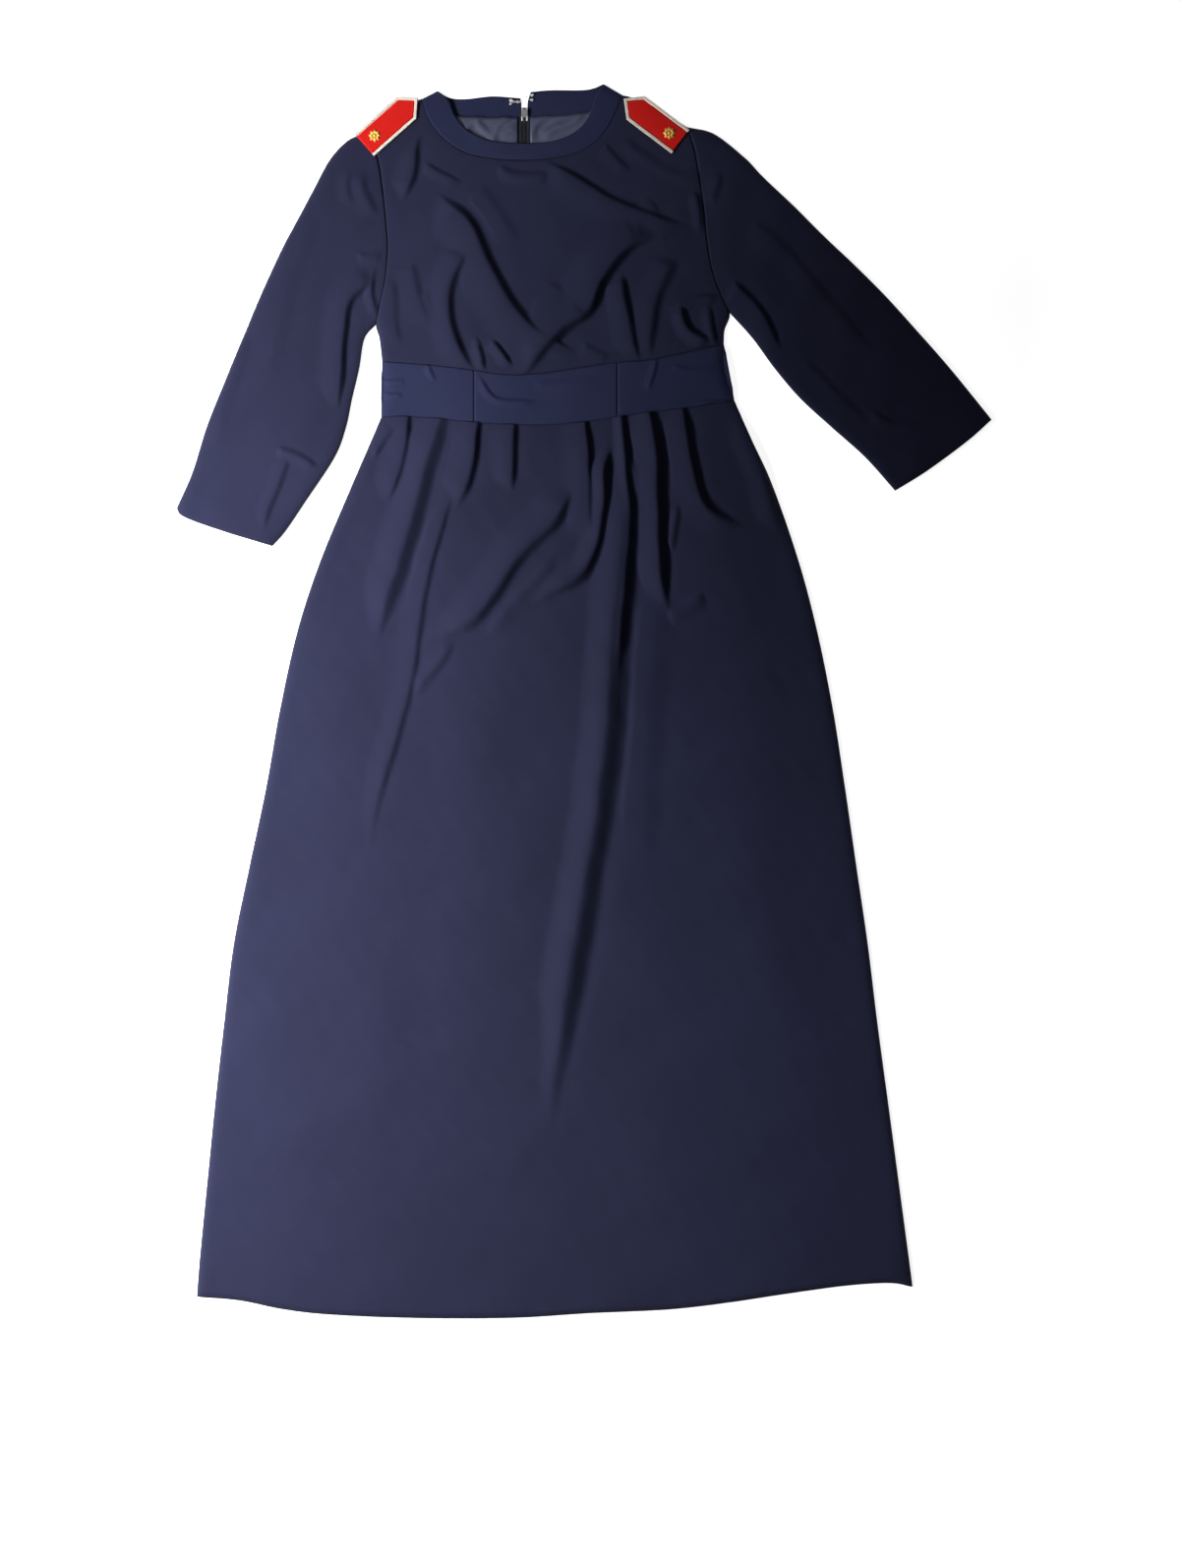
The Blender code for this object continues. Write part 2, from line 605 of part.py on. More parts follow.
def backs(side):
    """The flat pieces of the back on one side: neckband, bodice, lining, waistband and skirt."""
    sign = -1 if side == "right" else 1
    outer_end = 0 if side == "right" else -1
    neck_seam = smooth_line(BACK_NECK_SEAM[side], 13)
    neck_edge = clipped(smooth_line(BACK_NECK[side], 13), side)
    seam_above = clipped(neck_seam, side, HALF_GAP)
    ends = np.array([neck_edge[outer_end], seam_above[outer_end]])
    back_panel(f"neckband_back_{side}", side, neck_edge, ends, seam_above, 0, CLOTH, "navy_band")

    shoulder = smooth_line(SHOULDERS[side], 4)
    armhole, seam = side_stations(side)
    armhole = shifted(armhole, HALF_GAP if side == "right" else -HALF_GAP)
    outside = np.vstack([armhole[:-1], seam])
    neck_low = clipped(neck_seam, side, -HALF_GAP)
    if side == "right":
        top = np.vstack([shoulder[:-1], neck_low])
    else:
        top = np.vstack([neck_low, shoulder[1:]])
    band_top = smooth_line(BAND_TOP, 30)
    bottom = clipped(band_top, side, HALF_GAP)
    top[outer_end] = outside[0]
    outside[-1] = bottom[outer_end]
    back_panel(f"bodice_back_{side}", side, top, outside, bottom, 0, CLOTH, "navy_cloth")

    inset = 11.0
    lining_side = outside[2:] + (-sign * inset, 0)
    lining_neck = neck_seam[3:] if side == "right" else neck_seam[:-3]
    corner = lining_side[:1] + (-sign * 16, 14)
    if side == "right":
        lining_top = np.vstack([corner, lining_neck - (0, HALF_GAP)])
    else:
        lining_top = np.vstack([lining_neck - (0, HALF_GAP), corner])
    clear = TAPE_OUTER + 2 * LAYER_GAP
    lining_bottom = clipped(band_top, side, 3.0, clear)
    lining_bottom = lining_bottom[sign * lining_bottom[:, 0] < sign * lining_side[-1, 0] - 1]
    end = -1 if side == "right" else 0
    lining_top[end, 0] = line_x(CENTRE_BACK_LINE, lining_top[end, 1]) + sign * clear
    lining_edge = np.vstack([lining_top[outer_end], lining_side[1:-1], lining_bottom[outer_end]])
    back_panel(
        f"lining_back_{side}", side, lining_top, lining_edge, lining_bottom,
        LINING_LEVEL, LINING_LEVEL + LINING, "navy_lining", clear,
    )

    waist = smooth_line(WAIST, 30)
    band_low, band_high = clipped(waist, side, HALF_GAP), clipped(band_top, side, -HALF_GAP)
    edge = smooth_line(BAND_ENDS[side], 5)
    edge[0], edge[-1] = band_high[outer_end], band_low[outer_end]
    back_panel(f"waistband_back_{side}", side, band_high, edge, band_low, 0, CLOTH, "navy_band")

    skirt_top = clipped(waist, side, -HALF_GAP)
    hem = clipped(smooth_line(HEM, 30), side)
    edge = smooth_line(SKIRT_SIDES[side], 27)
    edge[0], edge[-1] = skirt_top[outer_end], hem[outer_end]
    back_panel(f"skirt_back_{side}", side, skirt_top, edge, hem, 0, CLOTH, "navy_cloth")


def zip_strip(inner, outer, count=16):
    """Outline of a strip beside the centre back line, from the slider down to the end of the zip."""
    y = np.linspace(ZIP_TOP, ZIP_END, count)
    middle = np.array([line_x(CENTRE_BACK_LINE, h) for h in y])
    first = np.column_stack([middle + inner, y])
    second = np.column_stack([middle + outer, y])
    return np.vstack([first, second[::-1]])


def zip_fastener():
    """Coil, tapes, slider and pull. The pull lies under the slider, in the slit between the back edges."""
    tape_level = LINING_LEVEL
    for side, sign in (("right", -1), ("left", 1)):
        strip = zip_strip(sign * TAPE_INNER, sign * TAPE_OUTER)
        wing_top = ZIP_TOP + SLIDER["length"] + 2
        gap = SLIDER["half_width"] + 0.5
        wing = CENTRE_BACK + sign * np.array([TAPE_OUTER, gap + 0.6, gap, TAPE_INNER])
        wing = np.column_stack([wing, (wing_top, wing_top, ZIP_TOP - 0.6, ZIP_TOP - 4)])
        outline = np.vstack([wing, strip[1:]])
        plate(f"zip_tape_{side}", outline, tape_level, tape_level + LINING, "zip_tape")
    plate("zip_coil", zip_strip(-COIL_HALF, COIL_HALF), COIL_LEVEL, COIL_LEVEL + COIL_THICK, "zip_tape")

    y0 = ZIP_TOP + LAYER_GAP
    y1 = y0 + SLIDER["length"]
    pivot_y = y1 + PIVOT_AHEAD
    half = SLIDER["half_width"]
    nose = half - 1.2
    body_outline = [
        (CENTRE_BACK - nose, y0), (CENTRE_BACK + nose, y0), (CENTRE_BACK + half, y0 + 3.5),
        (CENTRE_BACK + half, y1), (CENTRE_BACK - half, y1), (CENTRE_BACK - half, y0 + 3.5),
    ]
    body = plate("zip_slider", body_outline, SLIDER["low"], SLIDER["high"], "nickel")
    ears = []
    for sign in (-1, 1):
        x = CENTRE_BACK + sign * (PULL["neck_half"] + 0.35 + EAR_THICK / 2)
        ear_low, ear_high = PIVOT_LEVEL - 0.7, SLIDER["low"] + 0.9
        low_corner = (x - EAR_THICK / 2, y1 - 1.0, ear_low)
        high_corner = (x + EAR_THICK / 2, pivot_y + 0.7, ear_high)
        ears.append(block(f"ear_{sign}", low_corner, high_corner, "nickel"))
    pin = rod("pull_pin", pivot_y, PIN_RADIUS, PULL["neck_half"] + 0.75)
    combine(body, [*ears, pin], "UNION")

    neck, wide, tail = PULL["neck_half"], PULL["half_width"], PULL["length"]
    shape = [
        (-neck, 0), (neck, 0), (neck, -3), (wide, -9), (wide, -tail + 3), (wide - 1.2, -tail),
        (1.2 - wide, -tail), (-wide, -tail + 3), (-wide, -9), (-neck, -3),
    ]
    outline = np.array(shape) + (CENTRE_BACK, pivot_y)
    pull = plate("zip_pull", outline, PULL["low"], PULL["low"] + PULL["thick"], "nickel")
    combine(pull, [rod("pull_knuckle", pivot_y, KNUCKLE_RADIUS, neck)], "UNION")
    combine(pull, [rod("pull_bore", pivot_y, KNUCKLE_BORE, neck + 1)], "DIFFERENCE")


def rod(name, y, radius, half_length):
    """A twelve-sided rod across the dress, on the pull's hinge line."""
    turn = np.linspace(0, 2 * np.pi, 12, endpoint=False)
    ring = np.column_stack([y + radius * np.cos(turn), PIVOT_LEVEL + radius * np.sin(turn)])
    ends = [np.column_stack([np.full(12, CENTRE_BACK + s * half_length), ring]) for s in (-1, 1)]
    faces = [tuple(range(12)), tuple(range(23, 11, -1))]
    faces += [(k, 12 + k, 12 + (k + 1) % 12, (k + 1) % 12) for k in range(12)]
    return facing_out(add_solid(name, np.vstack(ends), faces, "nickel"))


def wire(name, path, level):
    """A bent wire lying at one height."""
    curve = bpy.data.curves.new(name, "CURVE")
    curve.dimensions = "3D"
    curve.bevel_depth = WIRE_RADIUS * MM
    curve.bevel_resolution = 2
    curve.use_fill_caps = True
    curve.resolution_u = 1
    curve.materials.append(material("nickel"))
    points = smooth_line(path, 20)
    spline = curve.splines.new("POLY")
    spline.points.add(len(points) - 1)
    for point, (x, y) in zip(spline.points, points):
        point.co = (x * MM, y * MM, level * MM, 1)
    made = bpy.data.objects.new(name, curve)
    bpy.context.scene.collection.objects.link(made)


def neck_fastening():
    """The hook on the right back edge and the eye on the left, above the zip."""
    level = CLOTH + LAYER_GAP + WIRE_RADIUS
    hook = ((-86, 681), (-84.5, 684), (-80, 684), (-75, 683), (-71.5, 681.5), (-71.5, 679.5), (-74, 679))
    eye = ((-57, 690), (-60, 690.5), (-64, 688.5), (-66, 685.5), (-64, 682.5), (-60, 683))
    wire("neck_hook", hook, level)
    wire("neck_eye", eye, level)


def board_frame(side):
    """A board's middle line: its outer end, the unit step towards the tip, and the step across it."""
    end = np.array(BOARDS[side]["end"], float)
    tip = np.array(BOARDS[side]["tip"], float)
    along = (tip - end) / np.linalg.norm(tip - end)
    return tip - along * BOARD_LENGTH, along, np.array([-along[1], along[0]])


def board_outline(side, inset, end_inset=0.0):
    """Five-sided outline, parallel to the board's edge at a distance inside it."""
    start, along, across = board_frame(side)
    half = BOARD_WIDTH / 2 - inset
    shoulder = BOARD_LENGTH - BOARD_POINT - 0.35 * inset
    tip = BOARD_LENGTH - 1.28 * inset
    shape = ((end_inset, -half), (shoulder, -half), (tip, 0), (shoulder, half), (end_inset, half))
    return np.array([start + a * along + b * across for a, b in shape])


def shoulder_board(side):
    """Red board, pale edging on the two long sides and the point, and a gilt rosette near the outer end."""
    level = FRONT_LEVEL + CLOTH + LAYER_GAP
    top = level + BOARD_THICK
    plate(f"board_{side}", board_outline(side, EDGING_WIDTH + LAYER_GAP), level, top, "board_red")
    ring = np.vstack([board_outline(side, 0), board_outline(side, EDGING_WIDTH)[::-1]])
    plate(f"board_edging_{side}", ring, level, top + EDGING_RISE, "edging_white")

    start, along, _ = board_frame(side)
    centre = start + 16 * along
    turn = np.linspace(0, 2 * np.pi, ROSETTE_PETALS * 6, endpoint=False)
    petal = 1 + ROSETTE_SCALLOP * np.cos(ROSETTE_PETALS * turn)
    points = []
    for share, rise in ROSETTE_RINGS:
        radius = ROSETTE_RADIUS * share * (petal if share > 0.5 else np.ones_like(turn))
        ring = np.column_stack([centre[0] + radius * np.cos(turn), centre[1] + radius * np.sin(turn)])
        points.append(np.column_stack([ring, np.full(len(turn), top + LAYER_GAP + rise)]))
    count = len(turn)
    last = (len(points) - 1) * count
    faces = [tuple(range(count))[::-1], tuple(range(last, last + count))]
    for first in range(0, last, count):
        for k in range(count):
            a, b = first + k, first + (k + 1) % count
            faces.append((a, b, b + count, a + count))
    facing_out(add_solid(f"badge_{side}", np.vstack(points), faces, "gilt"))


def main():
    for old in list(bpy.data.objects):
        bpy.data.objects.remove(old, do_unlink=True)
    bodice_front()
    neckband_front()
    waistband_front()
    skirt_front()
    for side in ("right", "left"):
        sleeve(side)
        backs(side)
        shoulder_board(side)
    zip_fastener()
    neck_fastening()


main()
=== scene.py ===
# %% [markdown]
# # A navy mess dress, laid flat on its back
#
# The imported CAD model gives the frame: where every cut piece lies, how thick the dress is, and the one
# joint, on the zip's pull. This script sews finer cloth onto that frame. Each panel is a surface z(x, y)
# over the outline of its own cut piece: a level for the layer that it lies in, a rounded turn at its
# edges, a groove at its seams, and the folds that the cloth took when it was laid down.
#
# Tables are in millimetres. Left and right are the wearer's, so the right sleeve is at -X.

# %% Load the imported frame
import json

import bmesh
import bpy
import numpy as np
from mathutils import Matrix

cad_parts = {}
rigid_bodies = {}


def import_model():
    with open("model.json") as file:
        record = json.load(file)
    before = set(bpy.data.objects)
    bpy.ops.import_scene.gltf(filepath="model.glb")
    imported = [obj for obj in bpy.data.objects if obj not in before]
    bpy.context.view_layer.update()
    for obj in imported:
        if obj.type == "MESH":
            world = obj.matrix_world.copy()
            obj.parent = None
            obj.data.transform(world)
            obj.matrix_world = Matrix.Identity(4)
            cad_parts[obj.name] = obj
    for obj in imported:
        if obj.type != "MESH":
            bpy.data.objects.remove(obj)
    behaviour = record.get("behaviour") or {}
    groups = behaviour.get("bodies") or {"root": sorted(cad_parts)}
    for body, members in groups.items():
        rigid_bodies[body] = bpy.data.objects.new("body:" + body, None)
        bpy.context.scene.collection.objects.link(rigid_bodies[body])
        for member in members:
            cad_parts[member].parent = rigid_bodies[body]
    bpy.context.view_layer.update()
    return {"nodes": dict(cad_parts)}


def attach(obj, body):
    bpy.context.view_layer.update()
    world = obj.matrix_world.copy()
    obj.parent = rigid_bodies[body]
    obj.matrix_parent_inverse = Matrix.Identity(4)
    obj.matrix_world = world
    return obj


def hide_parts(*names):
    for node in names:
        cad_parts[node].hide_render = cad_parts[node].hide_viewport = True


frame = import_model()
MM = 0.001
DRESS = "dress"


def add_object(name, data):
    """A new object for a mesh, a camera or a lamp, linked into the scene."""
    made = bpy.data.objects.new(name, data)
    bpy.context.scene.collection.objects.link(made)
    return made


# %% [markdown]
# ## The camera
#
# The photograph looks straight down on the dress. A pixel there is 1.12 mm of cloth, and the middle of
# the picture falls a little below the waist, so the camera hangs over that point. The lens follows from
# the height and from how much cloth the picture's long side covers.

# %% Camera straight above
PIXEL, PICTURE_ROWS = 1.12, 1594
CAMERA_HEIGHT = 3.0
SENSOR = 36.0
LOOKED_AT = (6.7 * MM, -94.6 * MM)

camera = add_object("camera", bpy.data.cameras.new("camera"))
camera.data.sensor_fit = "VERTICAL"
camera.data.sensor_height = SENSOR
camera.data.lens = SENSOR * CAMERA_HEIGHT / (PICTURE_ROWS * PIXEL * MM)
camera.location = (*LOOKED_AT, CAMERA_HEIGHT)
bpy.context.scene.camera = camera
print("lens in mm:", round(camera.data.lens, 1))

# %% [markdown]
# ## The outlines of the cut pieces
#
# Each line runs from the top down, or from the viewer's left to right. A few points carry a smooth
# curve, as a cutter's chalk marks do, and neighbours share the line of the seam between them.

# %% Outlines
NECK_RIM = (
    (-167, 694), (-154, 683), (-147, 666), (-134, 650), (-114, 639), (-92, 635), (-68, 634),
    (-43, 635), (-21, 641), (-4, 652), (7, 668), (12, 685), (22, 702),
)
NECK_SEAM = (
    (-184, 685), (-177, 663), (-161, 641), (-136, 624), (-105, 617), (-72, 615),
    (-38, 617), (-6, 624), (18, 640), (34, 664), (44, 689),
)
SHOULDERS = {
    "right": ((-252, 646), (-216, 671), (-184, 685)),
    "left": ((44, 689), (80, 676), (117, 653)),
}
ARMHOLES = {
    "right": (
        (-252, 646), (-236, 622), (-229, 585), (-225, 546), (-223, 514), (-226, 480), (-232, 452),
        (-237, 428),
    ),
    "left": (
        (117, 653), (126, 626), (132, 591), (137, 557), (140, 524), (146, 490), (156, 462), (166, 441),
    ),
}
SIDES = {
    "right": ((-237, 428), (-233, 412), (-230, 386)),
    "left": ((166, 441), (160, 422), (159, 406)),
}
BAND_TOP = (
    (-230, 386), (-175, 382), (-125, 376), (-88, 371), (-45, 373), (-4, 379), (38, 385), (76, 388),
    (119, 397), (159, 406),
)
BAND_ENDS = {
    "right": ((-230, 386), (-228, 358), (-231, 323)),
    "left": ((159, 406), (160, 376), (171, 342)),
}
WAIST = (
    (-231, 323), (-197, 323), (-157, 320), (-118, 316), (-78, 314), (-38, 314), (2, 317), (41, 323),
    (76, 328), (112, 332), (141, 337), (171, 342),
)
BAND_SEAMS = (-125, 38)
SKIRT_SIDES = {
    "right": (
        (-231, 323), (-242, 297), (-265, 244), (-300, 160), (-326, 81), (-346, -8), (-362, -98),
        (-381, -188), (-399, -277), (-410, -367), (-420, -456), (-429, -546), (-437, -628), (-441, -678),
    ),
    "left": (
        (171, 342), (192, 294), (215, 244), (244, 160), (265, 81), (283, -8), (297, -98), (310, -188),
        (323, -277), (334, -367), (346, -456), (358, -546), (370, -636), (374, -667),
    ),
}
HEM = (
    (-441, -678), (-391, -682), (-340, -692), (-284, -698), (-172, -702), (-72, -701), (7, -696),
    (96, -692), (164, -684), (231, -674), (298, -665), (348, -662), (374, -667),
)
SLEEVE_OUTER = {
    "right": (
        (-252, 646), (-271, 636), (-290, 615), (-309, 580), (-327, 546), (-345, 512), (-368, 462),
        (-389, 412), (-410, 361), (-430, 311), (-446, 260), (-464, 219),
    ),
    "left": (
        (117, 653), (148, 645), (183, 618), (204, 596), (239, 563), (273, 529), (308, 496), (342, 462),
        (373, 428), (417, 378), (464, 320),
    ),
}
SLEEVE_INNER = {
    "right": (
        (-237, 428), (-250, 412), (-256, 378), (-264, 344), (-271, 311), (-284, 277), (-317, 227),
        (-340, 193), (-355, 176),
    ),
    "left": ((166, 441), (192, 412), (217, 378), (246, 344), (282, 311), (320, 277), (354, 239)),
}
CUFFS = {
    "right": ((-464, 219), (-455, 209), (-411, 193), (-355, 176)),
    "left": ((464, 320), (437, 296), (391, 262), (354, 239)),
}
BACK_NECK = {
    "right": ((-167, 694), (-152, 686), (-133, 685), (-105, 688), (-74, 686)),
    "left": ((-61, 693), (-38, 695), (-4, 695), (10, 697), (22, 702)),
}
BACK_NECK_SEAM = {
    "right": ((-184, 685), (-172, 674), (-147, 666), (-110, 664), (-71.4, 664)),
    "left": ((-64.6, 664), (-20, 667), (8, 671), (28, 679), (44, 689)),
}
CENTRE_BACK_LINE = ((-68, 700), (-68, 560), (-52, 330), (-34, -700))
BOARDS = {
    "right": {"end": (-249, 632), "tip": (-189, 685)},
    "left": {"end": (111, 634), "tip": (45, 684)},
}

# %% [markdown]
# ## The folds, one row each
#
# A fold is a path with a crest along it. On one side the cloth falls away gently, and on the side to the
# left of someone who walks the path it drops steeply, which is the side that the light misses. The first
# rows of each table are the large folds that the CAD model has too. The rest are the finer creases that
# only show in the cloth itself.
#
# Columns: height, width of the gentle side, width of the steep side, share of the height at the start,
# path.

# %% Fold tables
BODICE_FOLDS = (
    (5.6, 44, 10, 0.0, (-168, 580), (-131, 549), (-106, 503), (-84, 458), (-52, 424), (-4, 393)),
    (7.2, 46, 8, 0.3, (84, 523), (55, 516), (24, 479), (6, 441), (-26, 416), (-78, 358)),
    (6.2, 30, 10, 0.0, (8, 443), (-26, 416), (-50, 394), (-68, 375)),
    (4.2, 34, 5, 0.2, (-40, 613), (11, 584), (62, 559), (124, 538)),
    (4.6, 30, 8, 0.0, (-126, 514), (-146, 482), (-150, 441), (-138, 397), (-121, 370)),
    (4.0, 26, 6, 0.1, (-186, 652), (-190, 630), (-194, 594), (-206, 566)),
    (4.2, 26, 7, 0.0, (44, 486), (53, 435), (63, 384)),
    (3.6, 26, 9, 0.0, (108, 502), (87, 460), (78, 416), (76, 388)),
    (5.0, 15, 5, 0.2, (110, 450), (120, 424), (148, 409)),
    (3.0, 12, 4, 0.6, (-119, 406), (-115, 390), (-113, 374)),
    (2.0, 13, 5, 0.0, (-182, 612), (-162, 601), (-138, 590)),
    (2.4, 14, 7, 0.0, (-98, 609), (-74, 600), (-36, 601)),
    (3.4, 24, 5, 0.3, (50, 648), (68, 634), (105, 614), (140, 594)),
    (1.8, 18, 6, 0.0, (23, 634), (38, 618), (55, 603)),
    (2.4, 12, 4, 0.0, (128, 580), (133, 552), (134, 530)),
    (3.4, 14, 4, 0.0, (-104, 412), (-92, 398), (-80, 380)),
    (2.6, 14, 4, 0.5, (102, 450), (124, 458), (154, 463)),
    (2.8, 11, 4, 0.5, (143, 446), (147, 425), (151, 402)),
    (1.8, 24, 8, 0.0, (-196, 500), (-186, 462), (-170, 424)),
    (1.5, 20, 7, 0.0, (-176, 470), (-168, 440), (-148, 408)),
    (1.4, 22, 8, 0.0, (-214, 480), (-214, 440), (-208, 400)),
    (1.6, 26, 9, 0.0, (-20, 470), (-34, 446), (-44, 420)),
    (1.3, 24, 10, 0.0, (88, 560), (60, 540), (40, 520)),
    (1.2, 30, 12, 0.0, (-120, 590), (-96, 560), (-70, 520)),
    (1.4, 18, 7, 0.0, (0, 408), (12, 400), (30, 394)),
)
SKIRT_FOLDS = (
    (4.0, 30, 6, 0.7, (-198, 324), (-204, 274), (-223, 222)),
    (6.2, 34, 16, 0.5, (-157, 322), (-175, 260), (-190, 202), (-208, 146), (-234, 62)),
    (4.6, 30, 7, 0.7, (-118, 318), (-123, 277), (-131, 244), (-147, 218)),
    (2.6, 26, 5, 0.0, (-146, 246), (-177, 132), (-198, 6), (-233, -120), (-243, -178)),
    (4.2, 28, 7, 0.7, (-78, 316), (-78, 278), (-82, 236)),
    (4.8, 34, 6, 0.7, (3, 319), (7, 272), (9, 216), (12, 170)),
    (6.5, 38, 10, 0.0, (-8, 246), (-30, 202), (-72, 160), (-100, 118), (-128, 86), (-186, 66)),
    (8.2, 22, 9, 0.0, (32, 290), (27, 262), (26, 219), (16, 170), (-4, 138), (-40, 119), (-70, 110)),
    (1.7, 18, 7, 0.0, (-116, 78), (-72, 126), (-30, 176)),
    (6.5, 13, 8, 0.7, (43, 325), (51, 272), (54, 188), (46, 96), (38, -8)),
    (8.6, 34, 24, 0.0, (52, 300), (54, 188), (43, 81), (34, -53), (12, -204), (-11, -333), (-38, -500)),
    (8.5, 30, 9, 0.6, (76, 330), (86, 283), (87, 216), (92, 137), (97, 94)),
    (1.6, 40, 26, 0.0, (98, 134), (90, 60), (84, -22), (74, -200)),
    (5.4, 30, 6, 0.6, (114, 334), (121, 286), (131, 244), (146, 218), (186, 196)),
    (3.0, 26, 10, 0.3, (182, 320), (206, 265), (226, 186)),
    (2.4, 18, 4, 0.0, (-146, 64), (-164, 38), (-194, 4)),
    (2.4, 12, 5, 0.0, (109, 222), (106, 198), (101, 166)),
    (3.2, 16, 6, 0.0, (92, 100), (112, 108), (136, 126)),
    (2.4, 16, 5, 0.5, (-214, 310), (-226, 292), (-240, 274)),
    (1.8, 20, 7, 0.0, (40, 284), (62, 262), (66, 222)),
    (0.8, 70, 44, 0.0, (-250, 60), (-268, -60), (-280, -210)),
    (0.8, 70, 44, 0.0, (-70, 70), (-92, -60), (-112, -240)),
    (0.9, 70, 50, 0.0, (204, 80), (218, -120), (232, -340)),
    (0.9, 70, 50, 0.0, (-180, -180), (-210, -360), (-230, -560)),
)
SLEEVE_FOLDS = {
    "right": (
        (4.2, 30, 7, 0.0, (-231, 480), (-262, 457), (-271, 416), (-275, 360), (-280, 326)),
        (2.6, 14, 4, 0.2, (-350, 288), (-326, 281), (-300, 266)),
        (2.0, 18, 5, 0.0, (-246, 614), (-248, 580), (-230, 548)),
        (1.6, 14, 5, 0.0, (-263, 602), (-267, 585), (-263, 564)),
        (1.8, 16, 6, 0.0, (-334, 276), (-348, 238), (-365, 190)),
        (1.8, 10, 3, 0.2, (-258, 508), (-243, 507), (-230, 509)),
        (2.4, 12, 4, 0.5, (-238, 484), (-240, 462), (-232, 436)),
        (1.2, 40, 16, 0.0, (-300, 560), (-330, 470), (-354, 370)),
        (1.2, 30, 14, 0.0, (-380, 420), (-400, 350), (-418, 280)),
    ),
    "left": (
        (3.5, 28, 6, 0.0, (170, 480), (199, 448), (226, 398)),
        (2.2, 16, 5, 0.0, (157, 600), (153, 580), (147, 562)),
        (1.6, 30, 10, 0.0, (240, 504), (290, 444), (336, 386)),
        (1.6, 16, 6, 0.0, (328, 330), (352, 318), (382, 322)),
        (1.4, 26, 9, 0.0, (190, 548), (230, 516), (264, 476)),
        (1.4, 20, 8, 0.0, (250, 390), (290, 350), (326, 316)),
    ),
}
BAND_FOLDS = (
    (1.7, 10, 3, 0.3, (-118, 368), (-104, 348), (-87, 342), (-50, 341)),
    (1.2, 8, 3, 0.3, (-177, 384), (-173, 374), (-168, 364)),
    (1.4, 10, 3, 0.4, (84, 388), (80, 370), (73, 350)),
    (1.1, 7, 3, 0.5, (-228, 365), (-218, 364), (-202, 366)),
    (1.1, 7, 3, 0.5, (-228, 350), (-219, 349), (-206, 350)),
    (1.4, 8, 3, 0.5, (134, 340), (150, 341), (169, 342)),
    (0.8, 14, 8, 0.0, (-60, 362), (-20, 364), (26, 370)),
    (0.9, 10, 5, 0.0, (100, 385), (120, 378), (150, 382)),
)
LINING_FOLDS = (
    (2.2, 11, 4, 0.2, (-80, 676), (-86, 662), (-97, 650), (-102, 630)),
    (2.0, 10, 4, 0.1, (-106, 672), (-119, 660), (-131, 650), (-136, 634)),
    (1.8, 8, 4, 0.0, (-128, 668), (-112, 652), (-104, 642), (-100, 626)),
    (2.2, 10, 4, 0.2, (-30, 674), (-44, 662), (-55, 650), (-59, 630)),
    (2.0, 10, 4, 0.0, (4, 668), (-14, 654), (-34, 646), (-46, 630)),
    (1.5, 7, 3, 0.0, (-24, 658), (-34, 648), (-50, 643)),
    (1.5, 7, 3, 0.0, (-76, 654), (-88, 645), (-108, 640)),
)
BACK_SKIRT_FOLDS = (
    (1.9, 18, 6, 0.6, (-196, 322), (-203, 268), (-214, 210)),
    (2.2, 20, 7, 0.6, (-156, 320), (-168, 262), (-184, 176), (-196, 90)),
    (2.0, 18, 6, 0.6, (-116, 316), (-122, 268), (-130, 214)),
    (1.6, 16, 6, 0.6, (-84, 314), (-84, 276), (-88, 236)),
    (1.7, 18, 6, 0.6, (-14, 316), (-10, 274), (-4, 226)),
    (2.2, 20, 7, 0.6, (28, 321), (38, 270), (46, 180), (56, 70)),
    (2.0, 18, 6, 0.6, (70, 327), (80, 282), (92, 220)),
    (1.9, 18, 6, 0.6, (112, 332), (124, 284), (142, 224)),
    (1.2, 40, 24, 0.0, (-250, 60), (-280, -140), (-300, -380)),
    (1.2, 44, 26, 0.0, (-120, 40), (-140, -160), (-150, -420)),
    (1.2, 40, 26, 0.0, (70, -40), (92, -220), (104, -460)),
    (1.1, 40, 26, 0.0, (190, 20), (214, -180), (230, -420)),
)
BACK_BODICE_FOLDS = (
    (1.4, 12, 4, 0.0, (-158, 500), (-156, 440), (-154, 380)),
    (1.4, 12, 4, 0.0, (62, 510), (60, 450), (58, 386)),
    (1.2, 22, 9, 0.0, (-206, 560), (-170, 520), (-120, 500)),
    (1.2, 22, 9, 0.0, (118, 566), (70, 526), (10, 512)),
    (1.0, 20, 10, 0.0, (-90, 560), (-110, 500), (-112, 430)),
    (1.0, 20, 10, 0.0, (-20, 570), (6, 500), (8, 430)),
)

# %% [markdown]
# ## Curves and distances
#
# A Catmull-Rom curve passes through every chalk mark. The distance from each point of a panel to such a
# curve, and how far along it the nearest place is, drives edges, seams and folds alike.

# %% Curve helpers
SPAN_STEPS = 20
EDGE_POINTS = 40


def arc_run(line):
    """Distance along a polyline at each of its points: the running sum of its steps."""
    return np.concatenate([[0.0], np.cumsum(np.linalg.norm(np.diff(line, axis=0), axis=1))])


def along_line(line, at, run=None):
    """Points of a polyline at given distances along it."""
    run = arc_run(line) if run is None else run
    return np.column_stack([np.interp(at, run, line[:, k]) for k in range(2)])


def even_points(line, count):
    """Evenly spaced points of a polyline."""
    return along_line(line, np.linspace(0, arc_run(line)[-1], count))


